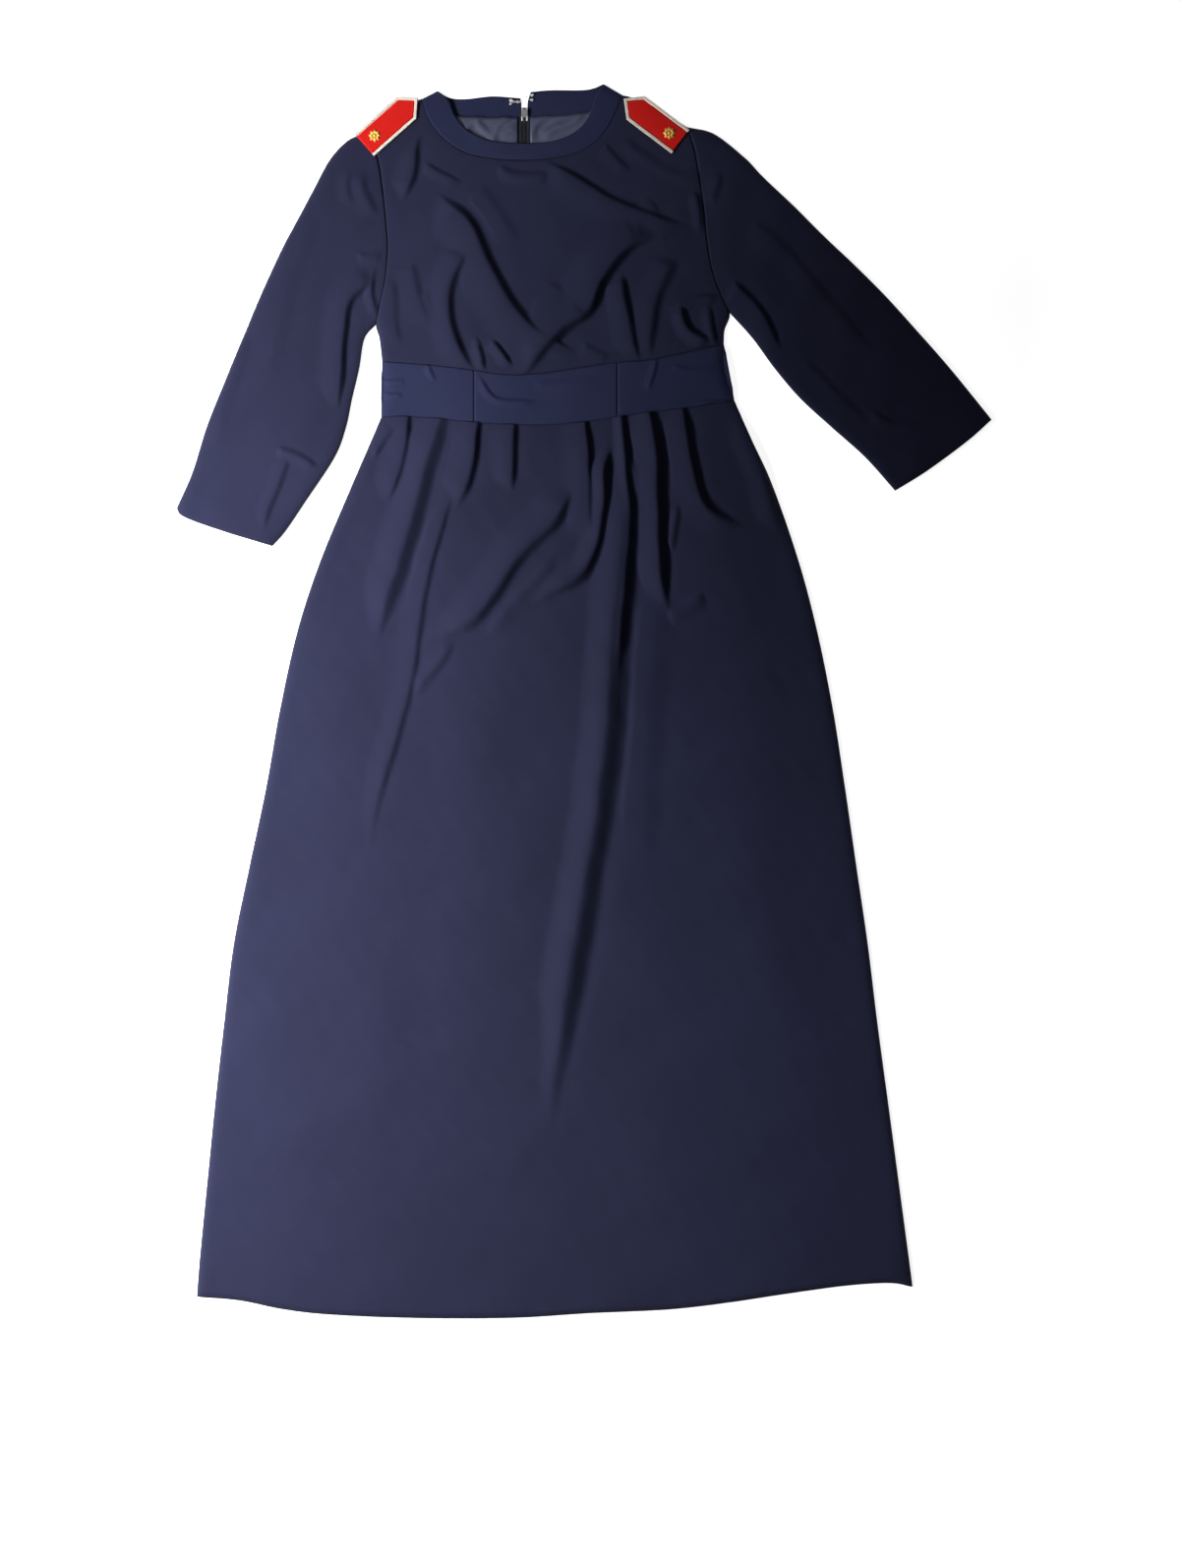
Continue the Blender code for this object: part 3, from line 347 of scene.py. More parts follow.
def smooth_line(points, count):
    """Evenly spaced points on the Catmull-Rom cubic through the given ones."""
    given = np.array(points, float)
    padded = np.vstack([2 * given[0] - given[1], given, 2 * given[-1] - given[-2]])
    t = np.linspace(0, 1, SPAN_STEPS, endpoint=False)[:, None]
    spans = []
    for a, b, c, d in zip(padded, padded[1:], padded[2:], padded[3:]):
        cubic = 2 * b + (c - a) * t + (2 * a - 5 * b + 4 * c - d) * t**2 + (3 * b - a - 3 * c + d) * t**3
        spans.append(cubic / 2)
    return even_points(np.vstack([*spans, given[-1:]]), count)


def unit(rows):
    """Each row divided by its length."""
    return rows / np.linalg.norm(rows, axis=1, keepdims=True)


def leftward(along):
    """Each step turned a quarter turn to the walker's left."""
    return np.column_stack([-along[:, 1], along[:, 0]])


def shifted(line, distance):
    """The line moved to the walker's left by a distance, at right angles to its own direction."""
    return line + distance * leftward(unit(np.gradient(line, axis=0)))


def nearest_on(line, x, y):
    """Distance to a polyline, the share of its length where it is nearest, and +1 on the walker's left."""
    run = arc_run(line)
    best, share, side = np.full(x.shape, np.inf), np.zeros(x.shape), np.ones(x.shape)
    for k in range(len(line) - 1):
        (ax, ay), (bx, by) = line[k], line[k + 1]
        dx, dy = bx - ax, by - ay
        t = np.clip(((x - ax) * dx + (y - ay) * dy) / (dx * dx + dy * dy), 0, 1)
        gap = np.hypot(x - ax - t * dx, y - ay - t * dy)
        closer = gap < best
        best = np.where(closer, gap, best)
        share = np.where(closer, (run[k] + t * (run[k + 1] - run[k])) / run[-1], share)
        side = np.where(closer, np.where(dx * (y - ay) - dy * (x - ax) >= 0, 1.0, -1.0), side)
    return best, share, side


def gap_to(lines, x, y, count=EDGE_POINTS):
    """Distance from each point to the nearest of several curves."""
    return np.minimum.reduce([nearest_on(smooth_line(line, count), x, y)[0] for line in lines])


def ease(t):
    """Smooth step from 0 to 1: 3t^2 - 2t^3."""
    t = np.clip(t, 0, 1)
    return t * t * (3 - 2 * t)


def bell(gap, width):
    """1 at a line, fading on both sides of it: e^-(gap / width)^2."""
    return np.exp(-((gap / width) ** 2))


# %% [markdown]
# ## Height of the cloth
#
# A fold's cross-section climbs the gentle side as a smooth step and comes down the steep side almost
# straight, so its shadow has a clear edge. Its height and both its widths swell from the start of the
# path and die away towards its end, which is what makes the spindle shape of a real pleat, and a slow
# wave pushes its crest to and fro. Folds are added as cubes and the cube root taken: where two meet, the
# taller one wins and the join stays soft.
#
# Between the folds, cloth is never quite level. A few long sine waves in seeded random directions stand
# for that.

# %% Folds, ripples, turns and grooves
WAVES = 7
FOLD_POINTS = 36
TROUGH = 0.12
SWELLS_OVER, DIES_OVER = 0.14, 0.26
WANDER, WANDER_LENGTH, WANDER_SEED, MOST_WANDER = 0.35, 75, 5, 6
GROOVE_WIDTH = 1.5
SEAM_RISE, RISE_FROM_SEAM, RISE_WIDTH = 0.15, 7, 4


def ripple(x, y, amount, size, seed):
    """Sum of seven sine waves about a given size long, in seeded directions, scaled to an amount."""
    rng = np.random.default_rng(seed)
    total = np.zeros(x.shape)
    for _ in range(WAVES):
        turn, phase = rng.uniform(0, np.pi), rng.uniform(0, 2 * np.pi)
        length = size * rng.uniform(0.6, 1.7)
        total += np.sin(2 * np.pi * (x * np.cos(turn) + y * np.sin(turn)) / length + phase)
    return amount * total / WAVES


def fold_field(folds, x, y):
    """Height of the folds: the cube root of the sum of their cubes."""
    total = np.zeros(x.shape)
    for height, gentle, steep, start, *path in folds:
        line = smooth_line(path, FOLD_POINTS)
        low, high = line.min(axis=0) - gentle - steep, line.max(axis=0) + gentle + steep
        near = (x > low[0]) & (x < high[0]) & (y > low[1]) & (y < high[1])
        if not near.any():
            continue
        gap, share, side = nearest_on(line, x[near], y[near])
        taper = (start + (1 - start) * ease(share / SWELLS_OVER)) * ease((1 - share) / DIES_OVER)
        drop_width, rise = steep * (0.3 + 0.6 * taper), gentle * (0.4 + 0.6 * taper)
        to_and_fro = ripple(x[near], y[near], WANDER, WANDER_LENGTH, WANDER_SEED)
        across = side * gap + drop_width / 2 + min(steep, MOST_WANDER) * to_and_fro
        drop = np.clip(1 - across / drop_width, 0, 1)
        fall = (1 + TROUGH) * (0.55 * drop + 0.45 * ease(drop)) - TROUGH
        climb_back = -TROUGH * (1 - ease((across - drop_width) / (rise / 2)))
        profile = np.where(across < 0, ease(1 + across / rise), np.where(drop > 0, fall, climb_back))
        total[near] += (height * profile * taper) ** 3
    return np.cbrt(total)


def turned(gap, width):
    """A quarter circle: 0 at an edge and 1 once the given width inside it."""
    t = np.clip(gap / width, 0, 1)
    return np.sqrt(1 - (1 - t) ** 2)


def seam_groove(gap, depth=0.12):
    """Cloth dips into a seam, and rises a little beside it over the turnings pressed open inside."""
    return -depth * bell(gap, GROOVE_WIDTH) + SEAM_RISE * bell(gap - RISE_FROM_SEAM, RISE_WIDTH)


# %% [markdown]
# ## From a surface to a piece of cloth
#
# A grid of points becomes quads, with UVs that measure the cloth along its threads in metres, so the
# weave runs with the surface. An attribute called "seam" is 1 on a stitched or turned edge and fades
# inwards: the material presses the cloth there and darkens it with painted shade. Solidify then gives the
# sheet its thickness on the inner side.

# %% Mesh helpers
POLE_GAP = 1e-6


def thread_lengths(points):
    """UVs in metres: across from the middle column, and down along the columns' average."""
    across = np.linalg.norm(np.diff(points, axis=1), axis=2)
    u = np.concatenate([np.zeros((len(points), 1)), np.cumsum(across, axis=1)], axis=1)
    u -= u[:, u.shape[1] // 2][:, None]
    down = np.linalg.norm(np.diff(points, axis=0), axis=2).mean(axis=1)
    v = np.concatenate([[0.0], np.cumsum(down)])
    return u * MM, np.broadcast_to(-v[:, None], u.shape) * MM


def grid_faces(rows, columns, wrap=False):
    """Quads of a grid whose rows run down and whose columns run to the right, facing the viewer."""
    index = np.arange(rows * columns).reshape(rows, columns)
    if wrap:
        index = np.hstack([index, index[:, :1]])
    corners = index[:-1, :-1], index[1:, :-1], index[1:, 1:], index[:-1, 1:]
    return np.stack(corners, axis=-1).reshape(-1, 4)


def make_mesh(name, points, faces, uv=None, seam=None):
    """A mesh object from points in millimetres, with smooth shading."""
    mesh = bpy.data.meshes.new(name)
    mesh.from_pydata(points.reshape(-1, 3) * MM, [], faces)
    mesh.polygons.foreach_set("use_smooth", np.ones(len(faces), bool))
    if uv is not None:
        pair = np.stack([uv[0].ravel(), uv[1].ravel()], axis=1)[faces.ravel()]
        mesh.uv_layers.new(name="threads").data.foreach_set("uv", pair.ravel())
    if seam is not None:
        # The seam mask presses the cloth and darkens it with painted shade along seams and turned edges.
        mesh.attributes.new("seam", "FLOAT", "POINT").data.foreach_set("value", seam.ravel())
    mesh.update()
    return add_object(name, mesh)


def merge_poles(piece):
    """Makes one point of those that lie together at a pole."""
    shape = bmesh.new()
    shape.from_mesh(piece.data)
    bmesh.ops.remove_doubles(shape, verts=shape.verts, dist=POLE_GAP)
    shape.to_mesh(piece.data)
    shape.free()
    return piece


def join_grids(name, grids):
    """One mesh from many closed grids of the same shape: an array of grid, row, column, coordinate."""
    count, rows, columns, _ = grids.shape
    one = grid_faces(rows, columns, wrap=True)
    faces = (one[None] + np.arange(count)[:, None, None] * rows * columns).reshape(-1, 4)
    return merge_poles(make_mesh(name, grids, faces))


def dress_piece(piece, material, slot, *nodes, thick=0.0):
    """Gives a piece its material and a thickness on its inner side, lets it ride on the dress, and lets it
    stand for its CAD nodes. slot is not used."""
    piece.data.materials.append(material)
    if thick:
        solidify = piece.modifiers.new("thickness", "SOLIDIFY")
        solidify.thickness, solidify.offset = thick * MM, -1
    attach(piece, DRESS)
    if nodes:
        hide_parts(*nodes)


def cloth(node, points, seam, thick, finish, under=False):
    """A sheet of cloth on a grid of points, in place of a CAD node. finish is its material and its slot.
    under turns its outer side to the ground."""
    faces = grid_faces(*points.shape[:2])
    if under:
        faces = faces[:, ::-1]
    piece = make_mesh(f"{node}_cloth", points, faces, thread_lengths(points), seam)
    dress_piece(piece, *finish, node, thick=thick)


def patch(top, bottom, left, right, hold=1):
    """Grid between four borders: straight from top to bottom, plus the side borders' offsets, which fade
    inwards as a power of the distance across."""
    top, bottom = top.copy(), bottom.copy()
    top[0], top[-1], bottom[0], bottom[-1] = left[0], right[0], left[-1], right[-1]
    u = np.linspace(0, 1, len(top))[None, :, None]
    v = (arc_run(left) / arc_run(left)[-1] + arc_run(right) / arc_run(right)[-1])[:, None, None] / 2
    ruled = (1 - v) * top[None] + v * bottom[None]
    off_left, off_right = left[:, None] - ruled[:, :1], right[:, None] - ruled[:, -1:]
    return ruled + (1 - u) ** hold * off_left + u**hold * off_right


# %% [markdown]
# ## Woven cloth as a shader
#
# The dress is a plain, tightly woven crepe: warp and weft threads cross a little under half a millimetre
# apart, and the yarns are uneven. One node group makes the threads' height from two sine waves along the
# UVs, broken up by noise. A second group makes the dye uneven, paints shade between the threads and a
# highlight on their tops, paints shade along the seams and turned edges, and presses the seams. They put
# out only masks, heights and colours, and each material keeps its own shader.

# %% Node helpers


def wire_up(tree, kind, inputs=(), **settings):
    """A node with its settings, whose inputs are given as numbers, colours or other nodes' outputs.
    Returns its outputs."""
    node = tree.nodes.new(f"ShaderNode{kind}")
    for key, value in settings.items():
        setattr(node, key, value)
    for key, value in dict(inputs).items():
        if isinstance(value, bpy.types.NodeSocket):
            tree.links.new(value, node.inputs[key])
        else:
            node.inputs[key].default_value = value
    return node.outputs


def times(tree, a, b, plus=0.0):
    """a x b + plus, on values or sockets."""
    return wire_up(tree, "Math", {0: a, 1: b, 2: plus}, operation="MULTIPLY_ADD")[0]


def noise(tree, point, scale, detail):
    """Fractal noise between 0 and 1."""
    return wire_up(tree, "TexNoise", {"Vector": point, "Scale": scale, "Detail": detail})[0]


def stretched_noise(tree, point, scale, detail):
    """The same, with a scale for each direction."""
    return noise(tree, wire_up(tree, "Mapping", {"Vector": point, "Scale": scale})[0], 1.0, detail)


def colour_mix(tree, share, first, second):
    """The first colour where the share is 0, the second where it is 1."""
    return wire_up(tree, "Mix", {0: share, 6: first, 7: second}, data_type="RGBA")[2]


def new_group(name, inputs, outputs):
    """An empty node group with named sockets, and its input and output nodes."""
    group = bpy.data.node_groups.new(name, "ShaderNodeTree")
    for in_out, sockets in (("INPUT", inputs), ("OUTPUT", outputs)):
        for socket, kind in sockets.items():
            group.interface.new_socket(socket, in_out=in_out, socket_type=f"NodeSocket{kind}")
    return group, group.nodes.new("NodeGroupInput").outputs, group.nodes.new("NodeGroupOutput").inputs


def new_material(name, **values):
    """A material, its node tree, and the sockets of its shader, some of them set to values by name."""
    material = bpy.data.materials.new(name)
    material.use_nodes = True
    shader = material.node_tree.nodes["Principled BSDF"].inputs
    for socket, value in values.items():
        shader[socket.replace("_", " ")].default_value = value
    return material, material.node_tree, shader


# %% Woven threads
TAU = 6.2832
YARN_SCALE, SLUB_SCALE = 1600.0, (60.0, 900.0, 1.0)
DYE_SCALE, WEAR_SCALE = 7.0, 26.0


def thread_group():
    """Height = product of two sines across the threads, plus yarn noise. Slub = stretched noise along
    the weft."""
    inputs = {"Threads": "Vector", "Per metre": "Float", "Twill": "Float"}
    group, given, out = new_group("woven threads", inputs, {"Height": "Float", "Slub": "Float"})
    apart = wire_up(group, "SeparateXYZ", {0: given["Threads"]})
    waves = []
    for coordinate in (times(group, apart["Y"], given["Twill"], apart["X"]), apart["Y"]):
        phase = times(group, times(group, coordinate, given["Per metre"]), TAU)
        waves.append(wire_up(group, "Math", {0: phase}, operation="SINE")[0])
    yarn = noise(group, given["Threads"], YARN_SCALE, 2.0)
    group.links.new(times(group, times(group, *waves), 0.5, yarn), out["Height"])
    group.links.new(stretched_noise(group, given["Threads"], SLUB_SCALE, 2.0), out["Slub"])
    return group


def dye_and_painted_shade_group():
    """Colour = the deep and the light dye mixed by slubs and large soft noise, darkened with painted shade
    between the threads and along the seams and turned edges, and lit with a painted highlight on the
    threads' tops. Pressed = the mask of cloth that hands and irons have pressed."""
    inputs = {
        "Point": "Vector", "Slub": "Float", "Deep": "Color", "Light": "Color",
        "Seam": "Float", "Height": "Float",
    }
    group, given, out = new_group("uneven dye and painted shade", inputs, {"Colour": "Color", "Pressed": "Float"})
    broad = times(group, noise(group, given["Point"], DYE_SCALE, 3.0), 0.6)
    mixed = colour_mix(group, times(group, given["Slub"], 0.45, broad), given["Deep"], given["Light"])
    # Painted shade between the threads and a painted highlight on their tops: the colour is scaled by the
    # threads' height.
    valleys = times(group, given["Height"], 0.45, 0.775)
    # Painted shade along seams and turned edges: the seam mask darkens the colour by up to a fifth.
    shade = times(group, times(group, given["Seam"], -0.2, 1.0), valleys)
    dark = wire_up(group, "VectorMath", operation="SCALE", inputs={0: mixed, "Scale": shade})
    fine = times(group, noise(group, given["Point"], WEAR_SCALE, 4.0), 0.5)
    group.links.new(dark[0], out["Colour"])
    group.links.new(times(group, given["Seam"], 0.5, fine), out["Pressed"])
    return group


THREADS = thread_group()
DYE_AND_PAINTED_SHADE = dye_and_painted_shade_group()


def woven(name, deep, light, per_metre=2200.0, twill=0.0, relief=0.00012, rough=(0.62, 0.84), **shine):
    """A woven material. rough is its roughness pressed and unpressed, relief the threads' height in
    metres, and shine sets the shader's own sockets."""
    material, tree, shader = new_material(name, **shine)
    point = wire_up(tree, "TexCoord")
    threads = wire_up(tree, "Group", node_tree=THREADS, inputs={
        "Threads": point["UV"], "Per metre": per_metre, "Twill": twill,
    })
    # Besides the dye, this group paints shade between the threads and along the seams and turned edges, and
    # a highlight on the threads' tops.
    dyed_and_shaded = wire_up(tree, "Group", node_tree=DYE_AND_PAINTED_SHADE, inputs={
        "Point": point["Object"], "Slub": threads["Slub"], "Deep": (*deep, 1), "Light": (*light, 1),
        "Seam": wire_up(tree, "Attribute", attribute_name="seam")["Fac"], "Height": threads["Height"],
    })
    bump = wire_up(tree, "Bump", {"Height": threads["Height"], "Distance": relief, "Strength": 0.7})
    rough_at = wire_up(tree, "MapRange", {0: dyed_and_shaded["Pressed"], 3: rough[1], 4: rough[0]})
    tree.links.new(dyed_and_shaded["Colour"], shader["Base Color"])
    tree.links.new(rough_at[0], shader["Roughness"])
    tree.links.new(bump[0], shader["Normal"])
    return material


# %% [markdown]
# ## The finishes
#
# The navy crepe is almost black in the shade and turns blue-violet where the light falls on it. The
# bands are cut from the same colour in a smoother, slightly bluer cloth, and the lining is a paler satin.
# Each finish is a material together with the name of its slot in the record.

# %% Cloth materials
CREPE = woven(
    "navy crepe", (0.0101, 0.0112, 0.0292), (0.0190, 0.0208, 0.0553),
    Specular_IOR_Level=0.12, Sheen_Weight=0.03, Sheen_Roughness=0.5,
), "navy_cloth"
BAND_CLOTH = woven(
    "navy band cloth", (0.0094, 0.0122, 0.0396), (0.0175, 0.0220, 0.0690), 1500.0, 1.0, 0.00016, (0.5, 0.72),
    Specular_IOR_Level=0.15, Sheen_Weight=0.03, Sheen_Roughness=0.4,
), "navy_band"
LINING = woven(
    "violet-grey satin", (0.036, 0.040, 0.075), (0.066, 0.073, 0.130), 4000.0, 0.0, 0.00003, (0.26, 0.42),
    Specular_IOR_Level=0.5,
), "navy_lining"
TAPE = woven(
    "zip tape", (0.008, 0.009, 0.016), (0.014, 0.015, 0.025), 1400.0, 1.0, 0.0002, (0.6, 0.8),
    Specular_IOR_Level=0.3,
), "zip_tape"
THREAD = woven(
    "navy thread", (0.014, 0.015, 0.036), (0.026, 0.028, 0.062), 5000.0, 0.0, 0.00005, (0.45, 0.6),
    Specular_IOR_Level=0.4,
), "zip_tape"
PALE_THREAD = woven(
    "pale sewing thread", (0.50, 0.50, 0.52), (0.80, 0.80, 0.80), 6000.0, 0.0, 0.00004, (0.45, 0.6),
    Specular_IOR_Level=0.4,
), "edging_white"
RED_FELT = woven(
    "red fulled wool", (0.50, 0.0080, 0.0055), (0.72, 0.0140, 0.0100), 900.0, 0.0, 0.00022, (0.7, 0.9),
    Specular_IOR_Level=0.12, Sheen_Weight=0.06, Sheen_Roughness=0.4,
), "board_red"
BRAID = woven(
    "cream braid", (0.72, 0.60, 0.50), (0.95, 0.88, 0.78), 1600.0, 1.0, 0.0002, (0.5, 0.7),
    Specular_IOR_Level=0.4, Sheen_Weight=0.1,
), "edging_white"

# %% [markdown]
# ## Metal and nylon
#
# Plating, gilt wire and nylon monofilament are smooth, and only fine scratches and patches of wear keep
# them from looking perfect. One recipe serves them all: noise stretched one way is the scratches, which
# change roughness and bump, and a rounder noise mixes the clean colour with the worn one.

# %% Smooth finishes
SCRATCH_RELIEF = 0.00003
PATCH_SCALE = 220.0


def smooth_finish(name, colour, worn, rough, metallic=1.0, scratch=(900.0, 60.0, 900.0)):
    """Plating or nylon, whose roughness and colour vary with scratches and patches of wear."""
    material, tree, shader = new_material(name, Metallic=metallic)
    point = wire_up(tree, "TexCoord")["Object"]
    lines = stretched_noise(tree, point, scratch, 3.0)
    worn_at = noise(tree, point, PATCH_SCALE, 3.0)
    bump = wire_up(tree, "Bump", {"Height": lines, "Distance": SCRATCH_RELIEF, "Strength": 0.5})
    tree.links.new(colour_mix(tree, worn_at, (*colour, 1), (*worn, 1)), shader["Base Color"])
    tree.links.new(times(tree, lines, 0.25, rough), shader["Roughness"])
    tree.links.new(bump[0], shader["Normal"])
    return material


NICKEL = smooth_finish("nickel plate", (0.86, 0.85, 0.83), (0.66, 0.64, 0.61), 0.22), "nickel"
DARK_NICKEL = smooth_finish("dark nickel plate", (0.20, 0.20, 0.22), (0.34, 0.33, 0.33), 0.26)
GILT = smooth_finish("gilt wire", (0.96, 0.62, 0.16), (0.80, 0.44, 0.09), 0.3, 0.6, (400.0,) * 3), "gilt"
NYLON = smooth_finish("black nylon", (0.010, 0.011, 0.016), (0.022, 0.023, 0.030), 0.30, 0.0), "zip_tape"

# %% [markdown]
# ## The bodice front
#
# One cut piece from the neckband to the waistband. It lies over the back, so its outer side is about
# 5 mm up, and it turns down to the side seams and shoulders. Laid on the floor it slumped into a large V
# of folds over the bust, with smaller pulls from the neck, the armholes and the waistband.

# %% Bodice front
FRONT_TOP, TURN_DOWN, TURN_WIDTH = 4.8, 1.9, 13.0
CLOTH_THICK = 0.8
SEAM_TUCK = 0.03
BOARD_CLEAR, BOARD_FADE = 29.0, 16.0
SETTLED = 26
FRONT_RIPPLES = (1.1, 90), (0.35, 28)
CROWN_WIDTH = 120
# SEAM_MARK, WIDE_SEAM_MARK and HEM_MARK are widths of the seam mask, which presses the cloth and darkens it
# with painted shade.
SEAM_MARK, WIDE_SEAM_MARK, HEM_MARK = 1.4, 2.4, 2.5
SHOULDER_POINTS, NECK_POINTS, ARMHOLE_POINTS, SIDE_POINTS = 27, 111, 105, 19


def clear_of_boards(x, y):
    """0 under the shoulder boards, where the cloth lies flat, and 1 well away from them."""
    gaps = [nearest_on(np.array([*board.values()], float), x, y)[0] for board in BOARDS.values()]
    return ease((np.minimum(*gaps) - BOARD_CLEAR) / BOARD_FADE)


def upper_side(x, y, edge, inside, folds, levels, ripples, seed, crown):
    """A layer that lies on the back: turned edge + folds + ripples + crown. levels are its heights at the
    edge and away from it, and crown is the height and reach of a soft swelling towards its middle."""
    clear = clear_of_boards(x, y)
    height = levels[0] + (levels[1] - levels[0]) * turned(edge, TURN_WIDTH)
    height += clear * (fold_field(folds, x, y) + inside * ripple(x, y, *ripples[0], seed))
    return height + clear * inside * (ripple(x, y, *ripples[1], seed + 1) + crown[0] * ease(edge / crown[1]))


def front_points(grid, turned_edges, seams, folds, seed, crown=0.0):
    """A front panel's outer side, with a groove at its seams, and its seam mask."""
    x, y = grid[..., 0], grid[..., 1]
    edge, seam = gap_to(turned_edges, x, y), gap_to(seams, x, y)
    inside = ease(np.minimum(edge, seam) / SETTLED)
    levels, crown = (TURN_DOWN, FRONT_TOP), (crown, CROWN_WIDTH)
    height = upper_side(x, y, edge, inside, folds, levels, FRONT_RIPPLES, seed, crown) + seam_groove(seam)
    return np.dstack([grid, height]), bell(np.minimum(seam, edge), SEAM_MARK)


def bodice_front():
    """Its borders are shoulders and neck on top, the waistband's seam below, and an armhole and a side seam
    on each side."""
    neck = shifted(smooth_line(NECK_SEAM, NECK_POINTS), -SEAM_TUCK)
    shoulders = {side: smooth_line(line, SHOULDER_POINTS) for side, line in SHOULDERS.items()}
    top = np.vstack([shoulders["right"][:-1], neck, shoulders["left"][1:]])
    bottom = shifted(smooth_line(BAND_TOP, len(top)), SEAM_TUCK)
    borders = []
    for side, inward in (("right", SEAM_TUCK), ("left", -SEAM_TUCK)):
        armhole = shifted(smooth_line(ARMHOLES[side], ARMHOLE_POINTS), inward)
        borders.append(np.vstack([armhole[:-1], smooth_line(SIDES[side], SIDE_POINTS)]))
    left, right = borders
    left[-1], right[-1] = bottom[0], bottom[-1]
    grid = patch(top, bottom, left, right, hold=6)
    turned_edges = (*SHOULDERS.values(), *SIDES.values())
    seams = (NECK_SEAM, BAND_TOP, *ARMHOLES.values())
    points, seam = front_points(grid, turned_edges, seams, BODICE_FOLDS, seed=3)
    cloth("bodice_front", points, seam, CLOTH_THICK, CREPE)


bodice_front()

# %% [markdown]
# ## The skirt front
#
# The widest piece. Eight pleats leave the waistband: four lean to the wearer's right and four to the
# left, and each has a soft edge towards the light and a steep one away from it. One of them runs most of
# the way to the hem. The grid has more rows near the waist, where the folds are sharp.

# %% Skirt front
SKIRT_HEM = (42.0, 0.3, 0.9, 3)
STEP_WIDTH = 3
ROW_GATHER = 1.35
SKIRT_COLUMNS, SKIRT_ROWS = 236, 190


def hemmed(gap, depth, step, roll, roll_width):
    """A hem turned up inside shows as a faint step at its depth, and the edge rolls slightly under."""
    return step * (1 - ease((gap - depth) / STEP_WIDTH)) - roll * bell(gap, roll_width)


def skirt_front():
    """Rows close up towards the waist as a power of the share of the drop."""
    drop = np.linspace(0, 1, SKIRT_ROWS) ** ROW_GATHER
    borders = []
    for line in SKIRT_SIDES.values():
        fine = smooth_line(line, 500)
        run = arc_run(fine)
        borders.append(along_line(fine, drop, run / run[-1]))
    waist = shifted(smooth_line(WAIST, 60), -SEAM_TUCK)
    top, bottom = smooth_line(waist, SKIRT_COLUMNS), smooth_line(HEM, SKIRT_COLUMNS)
    borders[0][0], borders[1][0] = top[0], top[-1]
    grid = patch(top, bottom, *borders)
    points, seam = front_points(grid, SKIRT_SIDES.values(), (WAIST,), SKIRT_FOLDS, seed=11, crown=1.6)
    gap = gap_to((HEM,), grid[..., 0], grid[..., 1], 60)
    points[..., 2] += hemmed(gap, *SKIRT_HEM)
    seam = np.maximum(seam, 0.5 * bell(gap, HEM_MARK))
    cloth("skirt_front", points, seam, CLOTH_THICK, CREPE)


skirt_front()

# %% [markdown]
# ## Waistband and neckband
#
# Both bands are faced, so they are a little thicker than the crepe and their edges are rounded over. The
# waistband's front is in three pieces, and it overhangs the top of the pleats.

# %% Bands
BAND_LEVEL, BAND_THICK = 5.2, 1.3
NECKBAND_LEVEL = FRONT_TOP + 0.1
BAND_ROLL, NECKBAND_ROLL, ROLL_WIDTH = 0.2, 0.08, 1.2
UPRIGHT_DEPTH, UPRIGHT_WIDTH = 0.25, 0.9
BAND_RIPPLE, BAND_SETTLED = (0.5, 60), 8
BAND_ROWS = 34
BAND_CUTS = {
    "right": ((-232, BAND_SEAMS[0]), 56, (0.115, 0.075, 0.86)),
    "centre": (BAND_SEAMS, 86, (0.170, 0.080, 0.78)),
    "left": ((BAND_SEAMS[1], 172), 66, (0.145, 0.090, 0.72)),
}


def band_points(grid, turned_edges, folds, seed, level=BAND_LEVEL, roll=BAND_ROLL):
    """A faced band: level, with its long edges rolled over by a depth, and a light ripple between them."""
    x, y = grid[..., 0], grid[..., 1]
    across = np.linspace(0, 1, grid.shape[0])[:, None]
    edge = np.minimum(across, 1 - across) * np.linalg.norm(grid[-1] - grid[0], axis=1)[None]
    height = TURN_DOWN + (level - TURN_DOWN) * turned(gap_to(turned_edges, x, y), TURN_WIDTH)
    height += fold_field(folds, x, y) + ripple(x, y, *BAND_RIPPLE, seed) * ease(edge / BAND_SETTLED)
    # The rolled edge also darkens the band's colour with painted shade, through the seam mask.
    rolled = bell(edge, ROLL_WIDTH)
    return np.dstack([grid, height - roll * rolled]), rolled


def waistband_front():
    """Each of its pieces is the part of the band between two upright seams, which get a shallow groove."""
    lines = smooth_line(BAND_TOP, 300), smooth_line(WAIST, 300)
    for name, ((start, stop), columns, cut) in BAND_CUTS.items():
        borders = []
        for line, inset in zip(lines, (-SEAM_TUCK, SEAM_TUCK)):
            x = np.linspace(max(start + SEAM_TUCK, line[0, 0]), min(stop - SEAM_TUCK, line[-1, 0]), columns)
            borders.append(np.column_stack([x, np.interp(x, line[:, 0], line[:, 1]) + inset]))
        top, bottom = borders
        grid = patch(top, bottom, *(np.linspace(top[k], bottom[k], BAND_ROWS) for k in (0, -1)))
        points, seam = band_points(grid, BAND_ENDS.values(), BAND_FOLDS, seed=21)
        upright = np.minimum(*(np.abs(grid[..., 0] - x) for x in BAND_SEAMS))
        points[..., 2] -= UPRIGHT_DEPTH * bell(upright, UPRIGHT_WIDTH)
        seam = np.maximum(seam, 0.6 * bell(upright, ROLL_WIDTH))
        cloth(f"waistband_front_{name}", points, seam, BAND_THICK, BAND_CLOTH)


